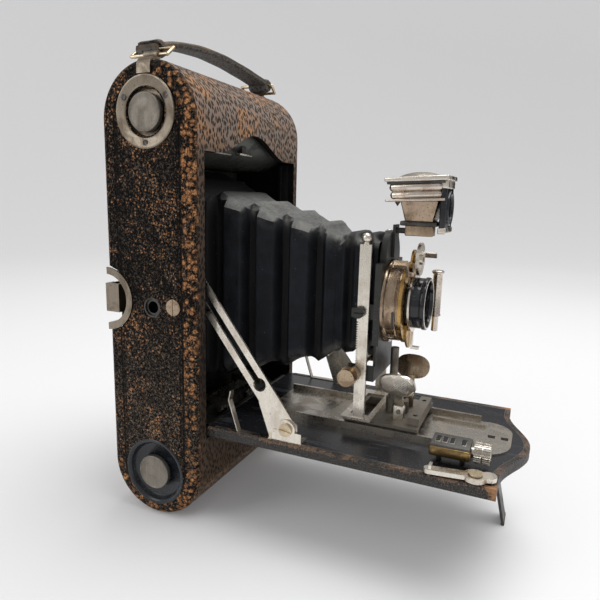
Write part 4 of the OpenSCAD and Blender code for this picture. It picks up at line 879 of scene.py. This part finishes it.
def make_catch():
    """Nickel catch plates that show under the lip, and near-black sheets of painted shade on the opening's two
    sides.
    """
    c = Shape()
    c.box(-7, 7, -22.4, -19, 198.2, 199.3, "pale", 0.3)
    c.box(-34, -16, -22.0, -20.4, 197.4, 198.1, "nickel", 0.2)
    for side in (-1, 1):
        x = sorted((side * 52.55, side * 54.5))
        # painted shade: near-black sheet on this side of the opening
        c.box(*x, -28.2, -17, 58, 196, "void", 0.2)
        x = sorted((side * 52.3, side * 52.9))
        c.box(*x, -19.4, -19.0, 90, 196, "dark", 0.1)
    c.done("catch_plates_and_side_shade", "dark_metal", "case")


make_bellows()
make_front_bellows()
make_strap()
make_side_trim()
make_finder()
make_shutter()
make_scale()
make_grip("near_pad", -1, "pale", "nickel", "grip_near", "near_grip", True)
make_grip("far_pad", 1, "bronze", "bronze", "grip_far", "far_grip", False)
make_bed_border()
make_catch()

# ---------------------------------------------------------------- room, light and camera


def area(name, place, target, size, power, tint=(1, 1, 1)):
    data = bpy.data.lights.new(name, "AREA")
    data.shape, data.size, data.size_y = "RECTANGLE", size[0], size[1]
    data.energy, data.color = power, tint
    lamp = bpy.data.objects.new(name, data)
    lamp.location = place
    lamp.rotation_euler = (Vector(target) - Vector(place)).to_track_quat("-Z", "Y").to_euler()
    bpy.context.scene.collection.objects.link(lamp)


def plain(name, colour, rough):
    p = Paint(name, Roughness=rough)
    shade = p.noise(1.3, 2, 0.5)
    p.set(Base_Color=p.mix(p.mul(shade, 0.06), colour, tuple(0.8 * v for v in colour)))
    return p.material


def card(name, corners, material):
    mesh = bpy.data.meshes.new(name)
    mesh.from_pydata(corners, [], [(0, 1, 2, 3)])
    made = bpy.data.objects.new(name, mesh)
    bpy.context.scene.collection.objects.link(made)
    mesh.materials.append(material)
    made.visible_camera = made.visible_diffuse = made.visible_shadow = False


def sweep(name, near, far, material, camera_only):
    """Rings `near` to `far` of a round paper sweep: flat out to 1.4 m, then curving up into a wall."""
    points, count = [], 96
    flat_rings, flat_end, bend, bend_rings, wall = 10, 1.4, 1.3, 14, 4
    for k in range(near, far + 1):
        t = max(0.0, k - flat_rings) / bend_rings
        a = min(t, 1.0) * math.pi / 2
        reach = 0.14 * k if k <= flat_rings else flat_end + bend * math.sin(a)
        reach = max(reach, 0.001)
        rise = bend * (1 - math.cos(a)) + max(0.0, t - 1) * wall
        for j in range(count):
            a = 2 * math.pi * j / count
            points.append((reach * math.cos(a), reach * math.sin(a), rise))
    faces = grid_faces(far - near + 1, count)
    if near == 0:  # the middle, wound the same way as the rest
        faces.append(tuple(range(count))[::-1])
    mesh = bpy.data.meshes.new(name)
    mesh.from_pydata(points, [], faces)
    made = bpy.data.objects.new(name, mesh)
    bpy.context.scene.collection.objects.link(made)
    mesh.materials.append(material)
    mesh.shade_smooth()
    if camera_only:
        made.visible_diffuse = made.visible_glossy = made.visible_shadow = made.visible_transmission = False


def paper():
    """Pale paper. It glows faintly with distance, in place of the light that a studio wall would get."""
    p = Paint("floor_paper", Roughness=0.6, Specular_IOR_Level=0.25)
    x, y, z = p.axes()
    away = p.calc("SQRT", p.add(p.mul(x, x), p.mul(y, y)))
    shade = p.noise(1.3, 2, 0.5)
    p.set(Base_Color=p.mix(p.mul(shade, 0.06), (0.78, 0.78, 0.785), (0.62, 0.62, 0.63)))
    p.set(Emission_Color=(0.97, 0.975, 1.0))
    p.set(Emission_Strength=p.add(p.span(away, 0.1, 1.6, 0.08, 0.15), p.span(z, 0.0, 1.2, 0.0, 0.02)))
    return p.material


PAPER = paper()
sweep("floor", 0, 8, PAPER, False)
sweep("backdrop", 8, 30, PAPER, True)
black_card = plain("black_card", (0.01, 0.01, 0.01), 1.0)
# seen only in reflections: they put dark bands on the metal
card("flag_left", [(-0.9, -0.9, 0.35), (-0.55, -1.15, 0.35), (-0.55, -1.15, 1.1), (-0.9, -0.9, 1.1)], black_card)
card("flag_right", [(1.2, -0.7, 0.05), (1.2, 0.3, 0.05), (1.2, 0.3, 0.5), (1.2, -0.7, 0.5)], black_card)

world = bpy.data.worlds.new("room")
bpy.context.scene.world = world
world.use_nodes = True
world.node_tree.nodes["Background"].inputs[0].default_value = (0.62, 0.615, 0.615, 1)
world.node_tree.nodes["Background"].inputs[1].default_value = 0.85
area("overhead", (0.25, -0.25, 1.25), (0, 0.02, 0.1), (1.1, 0.9), 13)
area("window", (-0.9, 0.75, 0.75), (0, 0, 0.12), (0.6, 0.8), 3.0)
bpy.context.scene.view_settings.view_transform = "Standard"

data = bpy.data.cameras.new("camera")
data.lens, data.sensor_width, data.clip_start = 32.87, 36, 0.01
camera = bpy.data.objects.new("camera", data)
place, yaw, pitch, roll = (-0.2847, -0.1050, 0.1765), 0.413, 0.188, 0.025
forward = Vector((math.cos(yaw) * math.cos(pitch), math.sin(yaw) * math.cos(pitch), -math.sin(pitch)))
right = forward.cross(Vector((0, 0, 1))).normalized()
up = right.cross(forward)
right_r = math.cos(roll) * right + math.sin(roll) * up
up_r = -math.sin(roll) * right + math.cos(roll) * up
turn = Matrix((right_r, up_r, -forward)).transposed().to_4x4()
camera.matrix_world = Matrix.Translation(place) @ turn
bpy.context.scene.collection.objects.link(camera)
bpy.context.scene.camera = camera

bpy.context.view_layer.update()
